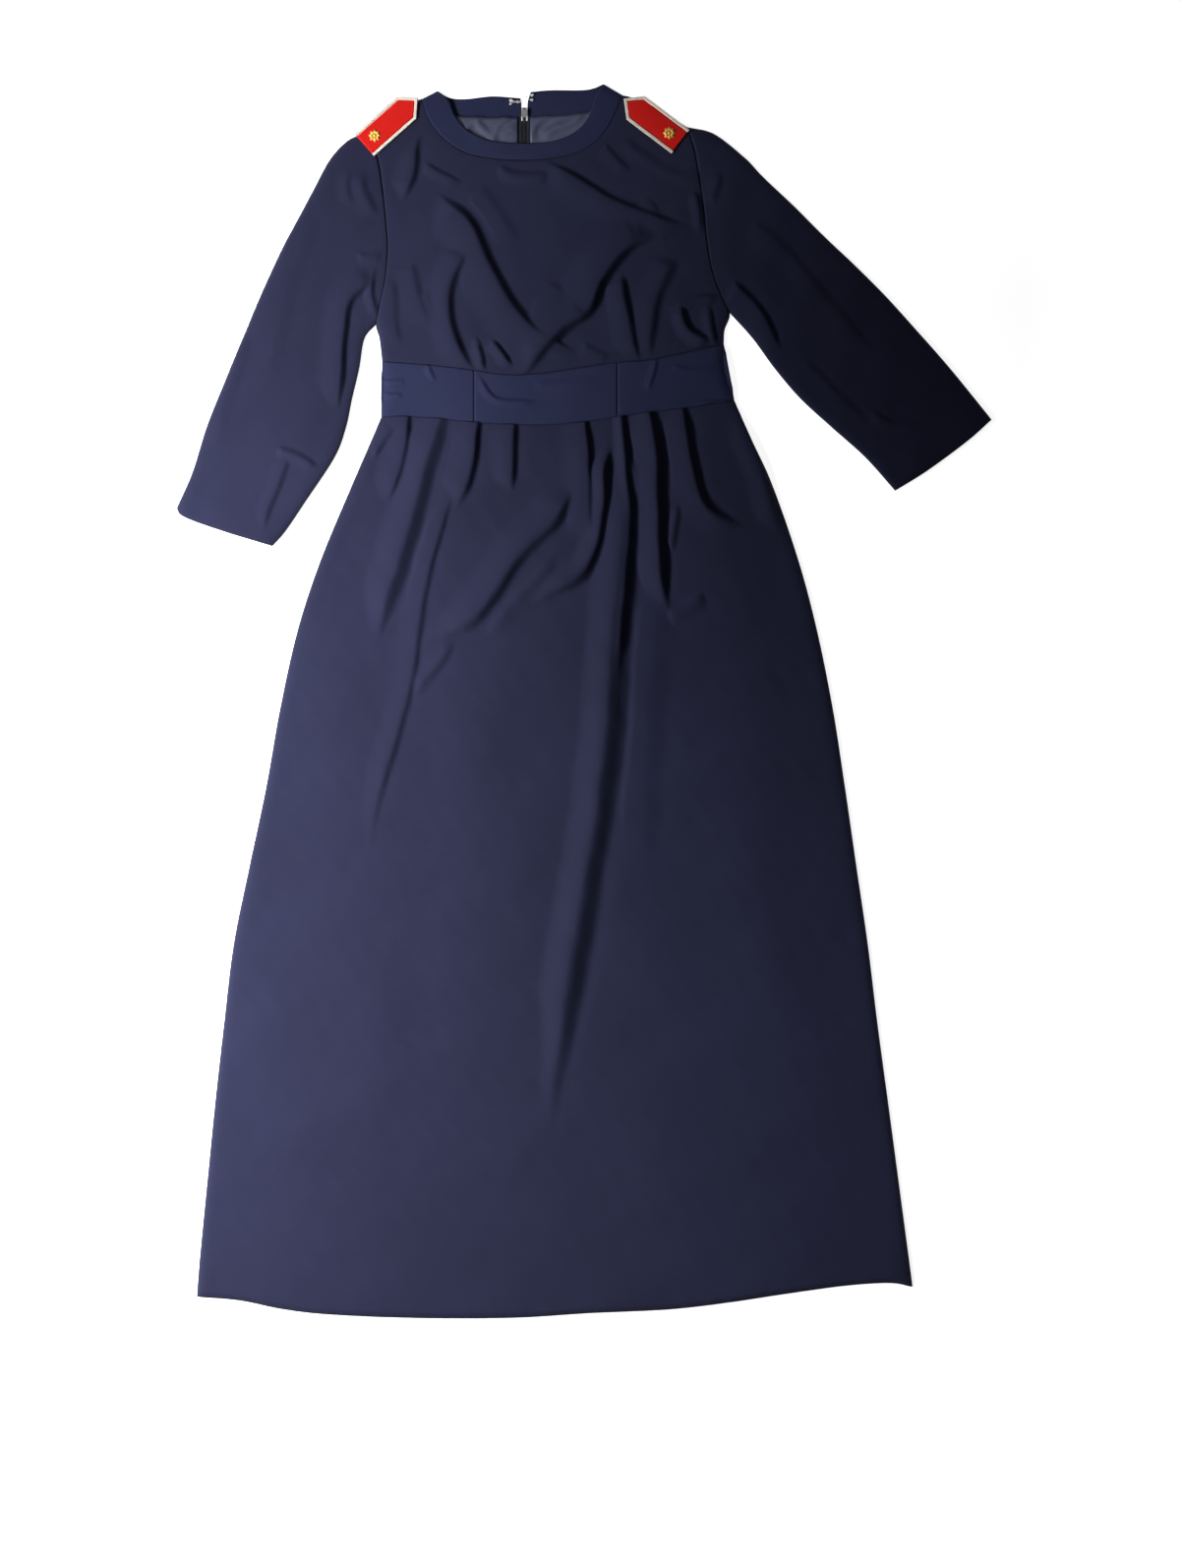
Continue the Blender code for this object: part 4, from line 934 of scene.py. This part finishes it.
def neckband_front():
    """Straight lines run from the rim to the seam, point by point."""
    rim, seam_line = smooth_line(NECK_RIM, 150), shifted(smooth_line(NECK_SEAM, 150), SEAM_TUCK)
    across = np.linspace(0, 1, 16)[:, None, None]
    grid = (1 - across) * rim[None] + across * seam_line[None]
    ends = ((NECK_RIM[0], NECK_SEAM[0]), (NECK_SEAM[-1], NECK_RIM[-1]))
    points, seam = band_points(grid, ends, (), 31, NECKBAND_LEVEL, NECKBAND_ROLL)
    cloth("neckband_front", points, 0.5 * seam, BAND_THICK, BAND_CLOTH)


waistband_front()
neckband_front()

# %% [markdown]
# ## The sleeves
#
# A three-quarter sleeve is a tube that lies flat. Going round it, the upper layer runs from the outer
# fold to the underarm at the height of the front, and the lower layer comes back along the ground. The
# tube stays open at the cuff, so its inside shows from below the hem.

# %% Sleeves
SLEEVE_LEVELS, SLEEVE_THICK = (1.6, 4.75), 0.6
SLEEVE_RIPPLES, SLEEVE_CROWN = ((1.0, 70), (0.3, 24)), (1.0, 50)
SLEEVE_SETTLED = 20
UNDER_TURN, UNDER_LIFT, UNDER_RIPPLE = 1.5, 0.25, (1.0, 60)
CUFF_HEM = (30, 0.25, 0.5, 2.5)
HALF_ROUND, ALONG = 71, 120


def round_tube(over, under):
    """Columns across the top, then those of the lower layer on the way back, without its two ends."""
    return np.concatenate([over, under[:, -2:0:-1]], axis=1)


def sleeve(side):
    """The top has a groove at the armhole and a hem at the cuff. Underneath, the cloth lies on the ground
    and turns up at both folds to meet the top."""
    outward = -SEAM_TUCK if side == "right" else SEAM_TUCK
    armhole = shifted(smooth_line(ARMHOLES[side], HALF_ROUND), outward)
    outer, inner = smooth_line(SLEEVE_OUTER[side], ALONG), smooth_line(SLEEVE_INNER[side], ALONG)
    outer[0], inner[0] = armhole[0], armhole[-1]
    grid = patch(armhole, smooth_line(CUFFS[side], HALF_ROUND), outer, inner)
    x, y = grid[..., 0], grid[..., 1]
    edge = gap_to((SLEEVE_OUTER[side], SLEEVE_INNER[side]), x, y)
    cap, cuff = gap_to((ARMHOLES[side],), x, y), gap_to((CUFFS[side],), x, y)
    inside = ease(np.minimum(np.minimum(edge, cap), cuff) / SLEEVE_SETTLED)
    shape = SLEEVE_FOLDS[side], SLEEVE_LEVELS, SLEEVE_RIPPLES, 41, SLEEVE_CROWN
    top = upper_side(x, y, edge, inside, *shape) + seam_groove(cap) + hemmed(cuff, *CUFF_HEM)
    under = UNDER_TURN * (1 - turned(edge, TURN_WIDTH))
    under += UNDER_LIFT * inside * (1 + ripple(x, y, *UNDER_RIPPLE, 43))
    points = round_tube(np.dstack([grid, top]), np.dstack([grid, under]))
    mask = bell(np.minimum(cap, cuff), WIDE_SEAM_MARK)
    faces = grid_faces(*points.shape[:2], wrap=True)
    if side == "left":
        faces = faces[:, ::-1]
    u = np.cumsum(np.linalg.norm(np.roll(points, -1, axis=1) - points, axis=2), axis=1) * MM
    v = np.broadcast_to(-arc_run(outer)[:, None] * MM, u.shape)
    piece = make_mesh(f"sleeve_{side}_cloth", points, faces, (u, v), round_tube(mask, mask))
    dress_piece(piece, *CREPE, f"sleeve_{side}", thick=SLEEVE_THICK)
    print(f"{piece.name}: {2 * len(faces)} quads")


for side in ("right", "left"):
    sleeve(side)

# %% [markdown]
# ## The back
#
# The back lies on the ground with its outer side down, so its weave and folds are seen only from
# beneath. Each half runs to the centre back seam, which opens a little at the top round the zip's slider.
# Its folds lift off the ground by 2 mm at most.

# %% Back pieces
BACK_THICK = 0.8
LINING_TOP, LINING_THICK = 2.3, 0.5
LINING_INSET, LINING_SHOULDER = 11.0, (16.0, 14.0)
SLIT_HALF, NOTCH_HALF = 3.4, 7.0
NOTCH_FROM, NOTCH_FADE, SLIT_FROM, SLIT_FADE = 694, 14, 640, 40
BACK_SETTLED, BACK_RIPPLE, BACK_RIPPLE_LENGTH = 24, 0.35, 80
SEAM_FLAT, SEAM_FADE, SEAM_STAND, STAND_WIDTH = 4, 16, 0.25, 1.5
TAPE_OUTER = 5.8
LINING_EDGE = TAPE_OUTER + 0.6


def slit_half(y):
    """Half the gap between the two back edges: a notch at the neck, a slit round the slider, a closed
    seam below."""
    notch = NOTCH_HALF + (SLIT_HALF - NOTCH_HALF) * ease((NOTCH_FROM - y) / NOTCH_FADE)
    return SEAM_TUCK + (notch - SEAM_TUCK) * (1 - ease((SLIT_FROM - y) / SLIT_FADE))


def centre_x(y):
    """Where the centre back line stands at a height."""
    line = np.array(CENTRE_BACK_LINE, float)
    return np.interp(-y, -line[:, 1], line[:, 0])


def back_half(side, top, outside, bottom, columns, rows, clearance=0.0):
    """Grid of a back piece, with its rows running from the viewer's left to right."""
    sign, inner, outer = (-1, -1, 0) if side == "right" else (1, 0, -1)
    ends = []
    for line in (top, bottom):
        line = smooth_line(line, 200)
        past = sign * (line[:, 0] - centre_x(line[:, 1]))
        line = line[past > np.maximum(slit_half(line[:, 1]), clearance)]
        y = line[inner, 1]
        line[inner, 0] = centre_x(y) + sign * max(slit_half(y), clearance)
        ends.append(even_points(line, columns))
    top, bottom = ends
    y = np.linspace(top[inner, 1], bottom[inner, 1], rows)
    centre = np.column_stack([centre_x(y) + sign * np.maximum(slit_half(y), clearance), y])
    edge = smooth_line(outside, rows)
    edge[0], edge[-1] = top[outer], bottom[outer]
    return patch(top, bottom, *((edge, centre) if side == "right" else (centre, edge)), hold=3)


def back_lift(x, y, edge, folds, seed):
    """How far folds and ripples lift the outer side of a back piece off the ground. Beside the centre seam
    it is flat, and the seam itself stands up a little."""
    centre = np.abs(x - centre_x(y))
    rippled = BACK_RIPPLE * (1 + ripple(x, y, 1.0, BACK_RIPPLE_LENGTH, seed))
    lift = ease(edge / BACK_SETTLED) * (fold_field(folds, x, y) + rippled)
    lift = np.maximum(lift, 0) * ease((centre - SEAM_FLAT) / SEAM_FADE)
    return lift + SEAM_STAND * bell(centre, STAND_WIDTH)


def lining(side, sign, body_edge, neck):
    """The bodice's lining, inside its edge. It lies at its own level, or just clear of the back's folds."""
    def ordered(first, rest):
        return [first, *rest] if side == "right" else [*rest, first]

    inset = np.array(body_edge[2:], float) + (-LINING_INSET * sign, 0)
    first = inset[0] + (-LINING_SHOULDER[0] * sign, LINING_SHOULDER[1])
    low = [(x, y + 3) for x, y in BAND_TOP if sign * x < sign * inset[-1, 0]]
    top, low = ordered(first, neck), ordered(inset[-1], low)
    grid = back_half(side, top, [first, *inset], low, 60, 80, LINING_EDGE)
    x, y = grid[..., 0], grid[..., 1]
    height = LINING_TOP + fold_field(LINING_FOLDS, x, y) + ripple(x, y, 0.9, 34, 61)
    lift = back_lift(x, y, gap_to((body_edge,), x, y), BACK_BODICE_FOLDS, 53)
    height = np.maximum(height, lift + BACK_THICK + LINING_THICK + 0.1)
    # The edge mask also darkens the lining's edge with painted shade, through the seam mask.
    edge = bell(np.abs(np.abs(x - centre_x(y)) - LINING_EDGE), 2)
    points = np.dstack([grid, height - 0.5 * edge])
    cloth(f"lining_back_{side}", points, edge, LINING_THICK, LINING)


def back(side):
    """Neckband, bodice, waistband, skirt and lining of one side of the back."""
    right = side == "right"
    sign, outer = (-1, 0) if right else (1, -1)
    neck_edge, neck_seam, shoulder = BACK_NECK[side], BACK_NECK_SEAM[side], SHOULDERS[side]
    neck_end = (neck_edge[outer], neck_seam[outer])
    body_top = (*shoulder[:-1], *neck_seam) if right else (*neck_seam, *shoulder[1:])
    body_edge, band_end = (*ARMHOLES[side], *SIDES[side][1:]), BAND_ENDS[side]
    waist = shifted(smooth_line(WAIST, 60), -SEAM_TUCK)
    for node, top, outside, bottom, columns, rows, folds, seed, thick, finish in (
        ("neckband", neck_edge, neck_end, neck_seam, 70, 14, (), 51, 1.1, BAND_CLOTH),
        ("bodice", body_top, body_edge, BAND_TOP, 70, 90, BACK_BODICE_FOLDS, 53, BACK_THICK, CREPE),
        ("waistband", BAND_TOP, band_end, WAIST, 80, 28, (), 55, 1.0, BAND_CLOTH),
        ("skirt", waist, SKIRT_SIDES[side], HEM, 90, 130, BACK_SKIRT_FOLDS, 57, BACK_THICK, CREPE),
    ):
        grid = back_half(side, top, outside, bottom, columns, rows)
        x, y = grid[..., 0], grid[..., 1]
        edge = gap_to((outside,), x, y)
        height = back_lift(x, y, edge, folds, seed) if folds else 0 * x
        seam = bell(np.minimum(edge, np.abs(x - centre_x(y))), WIDE_SEAM_MARK)
        cloth(f"{node}_back_{side}", np.dstack([grid, height]), seam, thick, finish, under=True)
    lining(side, sign, body_edge, neck_seam[1:] if right else neck_seam[:-1])


for side in ("right", "left"):
    back(side)

# %% [markdown]
# ## The zip
#
# A nylon coil zip: two monofilaments, each wound in a helix and sewn to the edge of its tape, and their
# loops mesh along the centre line. A tube swept along one helix, and the same again half a turn on, is
# exactly how the real one is made. The slider and pull are the CAD's own. Dark plating over cast metal
# gets fine scratches along it, and duller patches where fingers have been.

# %% Zip coil, tapes and stitches
ZIP_TOP, ZIP_END = 663.0, 120.0
COIL_PITCH, COIL_HEIGHT, COIL_WIRE, COIL_STEPS = 1.3, 2.4, 0.27, 8
LOOP_MIDDLE, LOOP_HALF, LOOP_RISE = 0.75, 0.85, 0.42
UNDER_COIL, TAPE_TOP, TAPE_THICK = 1.65, 2.4, 0.35
STITCH_LENGTH, STITCH_GAP, STITCH_THICK, STITCH_HEIGHT = 2.2, 0.9, 0.4, 2.45


def sweep(path, radius, sides):
    """A tube along a path: circles set square to the path's direction. Returns a grid of points."""
    along = unit(np.gradient(path, axis=0))
    first = unit(np.cross(along, (0.0, 1.0, 0.02)))
    second = np.cross(along, first)
    turn = np.linspace(0, 2 * np.pi, sides, endpoint=False)[None, :, None]
    return path[:, None] + radius * (np.cos(turn) * first[:, None] + np.sin(turn) * second[:, None])


def capped(grid):
    """The sweep with one more row at each end, where all its points meet on the axis."""
    tips = [np.repeat(end.mean(axis=0)[None, None], grid.shape[1], axis=1) for end in (grid[0], grid[-1])]
    return np.concatenate([tips[0], grid, tips[1]])


def closed_tube(name, grid):
    """The capped sweep as a mesh."""
    points = capped(grid)
    return merge_poles(make_mesh(name, points, grid_faces(*points.shape[:2], wrap=True)[:, ::-1]))


def zip_coil():
    """Each helix goes down one pitch a turn, and is an ellipse seen from its end."""
    turns = (ZIP_TOP - ZIP_END) / COIL_PITCH
    t = np.linspace(0, turns, int(turns * COIL_STEPS))
    y = ZIP_TOP - COIL_PITCH * t
    for place, side, phase, nodes in ((-1, "right", 0.0, ["zip_coil"]), (1, "left", np.pi, [])):
        angle = 2 * np.pi * t + phase
        x = centre_x(y) + place * LOOP_MIDDLE - place * LOOP_HALF * np.cos(angle)
        path = np.column_stack([x, y, COIL_HEIGHT + LOOP_RISE * np.sin(angle)])
        dress_piece(closed_tube(f"zip_coil_{side}", sweep(path, COIL_WIRE, 5)), *NYLON, *nodes)


def stitches(name, line, finish):
    """A row of stitches. Each is a lozenge: a sphere's grid stretched along the line, half sunk."""
    run = arc_run(line)
    at = np.arange(STITCH_GAP, run[-1] - STITCH_LENGTH, STITCH_LENGTH + STITCH_GAP) + STITCH_LENGTH / 2
    centre = along_line(line, at)
    along = unit(along_line(line, at + 0.1) - centre)
    angles = np.linspace(0.25, np.pi - 0.25, 5), np.linspace(0, 2 * np.pi, 7)[:-1]
    polar, turn = np.meshgrid(*angles, indexing="ij")
    lengthwise = (STITCH_LENGTH / 2) * np.cos(polar)
    sideways = (STITCH_THICK / 2) * np.sin(polar) * np.cos(turn)
    up = (STITCH_THICK / 2) * np.sin(polar) * np.sin(turn)
    flat = centre[:, None, None] + lengthwise[None, ..., None] * along[:, None, None]
    flat = flat + sideways[None, ..., None] * leftward(along)[:, None, None]
    z = np.broadcast_to(STITCH_HEIGHT + up, flat.shape[:-1])
    shells = np.concatenate([flat, z[..., None]], axis=-1)
    for ends in (0, -1):
        shells[:, ends] = shells[:, ends].mean(axis=1, keepdims=True)
    dress_piece(join_grids(name, shells), *finish)
    print(f"{name}: {len(at)} stitches")


def zip_tape(side, sign):
    """The tape dips under the coil and lies level beside it."""
    y = np.concatenate([np.linspace(674, 659, 12), np.linspace(656, ZIP_END, 150)])
    inner = np.where(y > 659, 4.1 + 0.6 * ease((y - 664) / 10), 0.08)[:, None]
    across = inner + np.linspace(0, 1, 21)[None] * (TAPE_OUTER - inner)
    if side == "right":
        across = across[:, ::-1]
    x = centre_x(y)[:, None] + sign * across
    z = UNDER_COIL + (TAPE_TOP - UNDER_COIL) * ease((across - 2.0) / 0.9) + 0.04 * np.sin(y / 9)[:, None]
    points = np.dstack([x, np.broadcast_to(y[:, None], x.shape), z])
    piece = make_mesh(f"zip_tape_{side}_cloth", points, grid_faces(*x.shape), thread_lengths(points))
    dress_piece(piece, *TAPE, f"zip_tape_{side}", thick=TAPE_THICK)
    row_y = np.linspace(655, ZIP_END + 4, 60)
    row = np.column_stack([centre_x(row_y) + sign * (TAPE_OUTER - 1.1), row_y])
    stitches(f"zip_stitches_{side}", row, THREAD)


zip_coil()
zip_tape("right", -1)
zip_tape("left", 1)
for name in ("zip_slider", "zip_pull"):
    frame["nodes"][name].data.materials.clear()
    frame["nodes"][name].data.materials.append(DARK_NICKEL)

# %% [markdown]
# ## Hook and eye
#
# They are bent from one round wire each: a bill that folds back on itself, or an arch, and two small
# loops that are sewn down with a few turns of pale thread. Each is a tube along a smooth path, of which
# the table holds one half: the other half is its mirror image, walked backwards.

# %% Hook and eye
WIRE_RADIUS, WIRE_HEIGHT = 0.5, 2.05
SEWING_RADIUS, SEWING_HEIGHT = 0.17, 1.85
HOOK_AT, EYE_AT = (-71.6, 681.6), (-65.8, 686.4)
HOOK_HALF = (
    (-9.5, -0.6, 0), (-11.6, 0.4, 0), (-13.0, 1.9, 0), (-12.4, 2.8, 0), (-10.6, 2.2, 0), (-9.0, 0.9, 0),
    (-6.0, 0.55, 0), (-2.0, 0.5, 0.1), (-0.5, 0.45, 0.4), (0.1, 0.0, 0.6),
)
EYE_HALF = (
    (8.4, 2.0, 0), (7.4, 3.6, 0), (5.8, 3.8, 0), (5.2, 2.6, 0), (6.4, 1.6, 0), (4.2, 2.3, 0),
    (1.4, 2.4, 0), (0.0, 0.0, 0),
)


def bent_wire(node, half, place):
    """A tube along a smooth path, with the height interpolated along it."""
    given = np.array([*half, *((x, -y, z) for x, y, z in half[-2::-1])], float)
    share = np.linspace(0, 1, len(given))
    line = smooth_line(given[:, :2], 160)
    line = np.column_stack([line, np.interp(np.linspace(0, 1, 160), share, given[:, 2])])
    tube = closed_tube(f"{node}_wire", sweep(line + (*place, WIRE_HEIGHT), WIRE_RADIUS, 10))
    dress_piece(tube, *NICKEL, node)


def sewn_down(name, place, loops):
    """Turns of thread over each loop: half ellipses side by side, tipped a little."""
    turns = []
    for x, y in loops:
        for k in np.linspace(-1.1, 1.1, 6):
            t = np.linspace(-0.15 * np.pi, 1.15 * np.pi, 16)
            run = np.column_stack([k + x + 0.25 * np.cos(t), y + 1.5 * np.cos(t), 0.15 + 0.95 * np.sin(t)])
            turns.append(capped(sweep(run + (*place, SEWING_HEIGHT), SEWING_RADIUS, 6))[:, ::-1])
    dress_piece(join_grids(name, np.array(turns)), *PALE_THREAD)


bent_wire("neck_hook", HOOK_HALF, HOOK_AT)
bent_wire("neck_eye", EYE_HALF, EYE_AT)
sewn_down("neck_hook_stitches", HOOK_AT, ((-12.2, 1.9), (-12.2, -1.9), (-4.0, 0.0)))
sewn_down("neck_eye_stitches", EYE_AT, ((6.6, 2.7), (6.6, -2.7)))

# %% [markdown]
# ## Shoulder boards
#
# Card covered in red fulled wool, with a cream braid sewn over both long edges and round the point. The
# braid is a flat plait: its height follows slanted strands that lean one way on one half and the other
# way on the other half. The badge is a plain round rosette of gilt wire.

# %% Boards, braid and rosettes
BOARD_LENGTH, BOARD_WIDTH, BOARD_POINT = 81.0, 34.0, 17.0
BOARD_TOP, CARD_THICK = 7.3, 1.9
EDGING_WIDTH, EDGING_THICK = 3.8, 1.3
STRAND, SLANT = 1.9, 1.4
ROSETTE_RADIUS, ROSETTE_PLACE, PETALS, WIRES = 6.3, 16, 8, 64


def board_outline(inset):
    """Half width, tip and shoulder of the board's outline, moved in by an inset."""
    shoulder = BOARD_LENGTH - BOARD_POINT - 0.35 * inset
    return BOARD_WIDTH / 2 - inset, BOARD_LENGTH - 1.28 * inset, shoulder


def on_board(side, a, b):
    """Points on the board from distances along it, from its outer end, and across it."""
    end, tip = (np.array(BOARDS[side][key], float) for key in ("end", "tip"))
    along = (tip - end) / np.linalg.norm(tip - end)
    start, across = tip - along * BOARD_LENGTH, np.array([-along[1], along[0]])
    return start + a[..., None] * along + b[..., None] * across


def board(side):
    """Half width stays the same to the shoulder of the point and then narrows to it. The cover is
    crowned and rolls over its edges."""
    half, tip, shoulder = board_outline(EDGING_WIDTH + 0.1)
    a = np.linspace(0, tip - 0.4, 90)[:, None] + np.zeros((1, 41))
    narrowing = np.clip((tip - a) / (tip - shoulder), 0, 1)
    b = np.linspace(-1, 1, 41)[None] * half * narrowing
    edge = np.minimum(half * narrowing - np.abs(b), a)
    z = BOARD_TOP + 0.25 - 0.5 * (b / half) ** 2 - 0.9 * (1 - turned(edge, 1.6))
    points = np.dstack([on_board(side, a, b), z + ripple(a + b, b, 0.12, 22, 71)])
    piece = make_mesh(f"board_{side}_cloth", points, grid_faces(*a.shape), thread_lengths(points))
    dress_piece(piece, *RED_FELT, f"board_{side}", thick=CARD_THICK)


def braid(side):
    """A plait along the U of the board's edge: z = crown + strands, where strands are a sine of the
    distance along plus or minus the distance across."""
    edges = []
    for inset in (0.0, EDGING_WIDTH):
        half, tip, shoulder = board_outline(inset)
        edges.append(np.array([(0, -half), (shoulder, -half), (tip, 0), (shoulder, half), (0, half)]))
    run = arc_run((edges[0] + edges[1]) / 2)
    s, w = np.linspace(0, run[-1], 760), np.linspace(0, 1, 13)
    outer, inner = (along_line(edge, s, run)[:, None] for edge in edges)
    flat = outer * (1 - w[None, :, None]) + inner * w[None, :, None]
    across = (w[None] - 0.5) * EDGING_WIDTH
    strands = 0.5 + 0.5 * np.sin(2 * np.pi * (s[:, None] - SLANT * np.abs(across)) / STRAND)
    roll = turned((0.5 - np.abs(w - 0.5)) * EDGING_WIDTH, 0.9)[None]
    z = BOARD_TOP - 0.7 + 1.15 * roll + 0.3 * strands * roll - 0.25 * bell(across, 0.3)
    points = np.dstack([on_board(side, flat[..., 0], flat[..., 1]), z])
    piece = make_mesh(f"board_braid_{side}", points, grid_faces(*z.shape), thread_lengths(points))
    dress_piece(piece, *BRAID, f"board_edging_{side}", thick=EDGING_THICK)


def rosette(side):
    """z = dome x petals: eight lobes as a cosine of the angle, fine radial wires as a faster one, and a
    raised eye in the middle."""
    centre = on_board(side, np.array(ROSETTE_PLACE), np.array(0))
    r = np.linspace(0, 1, 26)[:, None]
    turn = np.linspace(0, 2 * np.pi, 193)[None, :-1]
    radius = ROSETTE_RADIUS * r * (1 + 0.12 * np.cos(PETALS * turn) * ease((r - 0.3) / 0.5))
    wires = 0.10 * np.cos(WIRES * turn) * ease((r - 0.36) / 0.1)
    petals = 0.65 + 0.35 * np.abs(np.cos(PETALS / 2 * turn)) * ease((r - 0.35) / 0.2)
    eye = 0.9 * np.sqrt(np.clip(1 - (r / 0.3) ** 2, 0, 1)) - 0.5 * bell(r - 0.34, 0.05)
    z = BOARD_TOP + 0.3 + 1.5 * (1 - ease((r - 0.72) / 0.3)) * petals + wires + eye
    points = np.dstack([centre[0] + radius * np.cos(turn), centre[1] + radius * np.sin(turn), z])
    piece = merge_poles(make_mesh(f"badge_{side}_wire", points, grid_faces(*z.shape, wrap=True)))
    dress_piece(piece, *GILT, f"badge_{side}", thick=0.5)


for side in ("right", "left"):
    board(side)
    braid(side)
    rosette(side)

# %% [markdown]
# ## Floor and light
#
# The dress lies on a pale floor that glows like a light table, so that it stays white beside the dark
# cloth. The key is a soft strip standing low to the left, as long as the dress: it rakes across the
# pleats, and the far side of the dress gets about half of what the near side does. A black card between
# the key and the far sleeve holds back part of its light. The camera doesn't see the card, and since the
# key is large and the card small, the edge of its shade is too soft to be seen as a shadow. A weak lamp
# from above the neck and a faint sky open the shadows.

# %% Floor and lights
FLOOR_HALF, FLOOR_LEVEL = 6.0, -0.0006


def plate(name, low, high, height, colour, **values):
    """A flat rectangle of one colour that belongs to the studio, not to the dress."""
    mesh = bpy.data.meshes.new(name)
    corners = [(x, y, height) for x, y in (low, (high[0], low[1]), high, (low[0], high[1]))]
    mesh.from_pydata(corners, [], [(0, 1, 2, 3)])
    mesh.materials.append(new_material(name, Base_Color=(*colour, 1), **values)[0])
    made = add_object(name, mesh)
    return made


def area_light(name, place, looked_at, size, watts, spread):
    """A soft light that looks at a point of the floor. size is its width and length, and spread narrows
    its beam as a grid over it does."""
    lamp = bpy.data.lights.new(name, "AREA")
    lamp.shape = "RECTANGLE"
    lamp.size, lamp.size_y = size
    lamp.energy, lamp.spread = watts, np.radians(spread)
    made = add_object(name, lamp)
    x, y = np.subtract(place[:2], looked_at)
    made.location = place
    made.rotation_euler = (0, np.arctan2(np.hypot(x, y), place[2]), np.arctan2(y, x))


plate(
    "floor", (-FLOOR_HALF, -FLOOR_HALF), (FLOOR_HALF, FLOOR_HALF), FLOOR_LEVEL, (0.86, 0.86, 0.86),
    Roughness=0.9, Emission_Color=(1, 1, 1, 1), Emission_Strength=0.85,
)
card = plate("flag", (-0.61, -0.20), (-0.26, 0.48), 0.5, (0.01, 0.01, 0.01))
card.visible_camera = False
area_light("key light", (-1.32, -0.20, 0.95), (-0.70, -0.20), (0.45, 1.4), 38, 112)
area_light("top light", (-0.25, 1.15, 2.3), (-0.1, 0.5), (0.8, 0.8), 1.7, 120)
world = bpy.data.worlds.new("soft sky")
world.use_nodes = True
world.node_tree.nodes["Background"].inputs["Color"].default_value = (1, 1, 1, 1)
world.node_tree.nodes["Background"].inputs["Strength"].default_value = 0.03
bpy.context.scene.world = world
bpy.context.scene.view_settings.view_transform = "Standard"

# %% Count the triangles made here
graph = bpy.context.evaluated_depsgraph_get()
triangles = 0
for name, made in bpy.context.scene.objects.items():
    if made.type != "MESH" or name in frame["nodes"]:
        continue
    shown = made.evaluated_get(graph)
    triangles += sum(len(face.vertices) - 2 for face in shown.to_mesh().polygons)
    shown.to_mesh_clear()
print("triangles made here:", triangles)
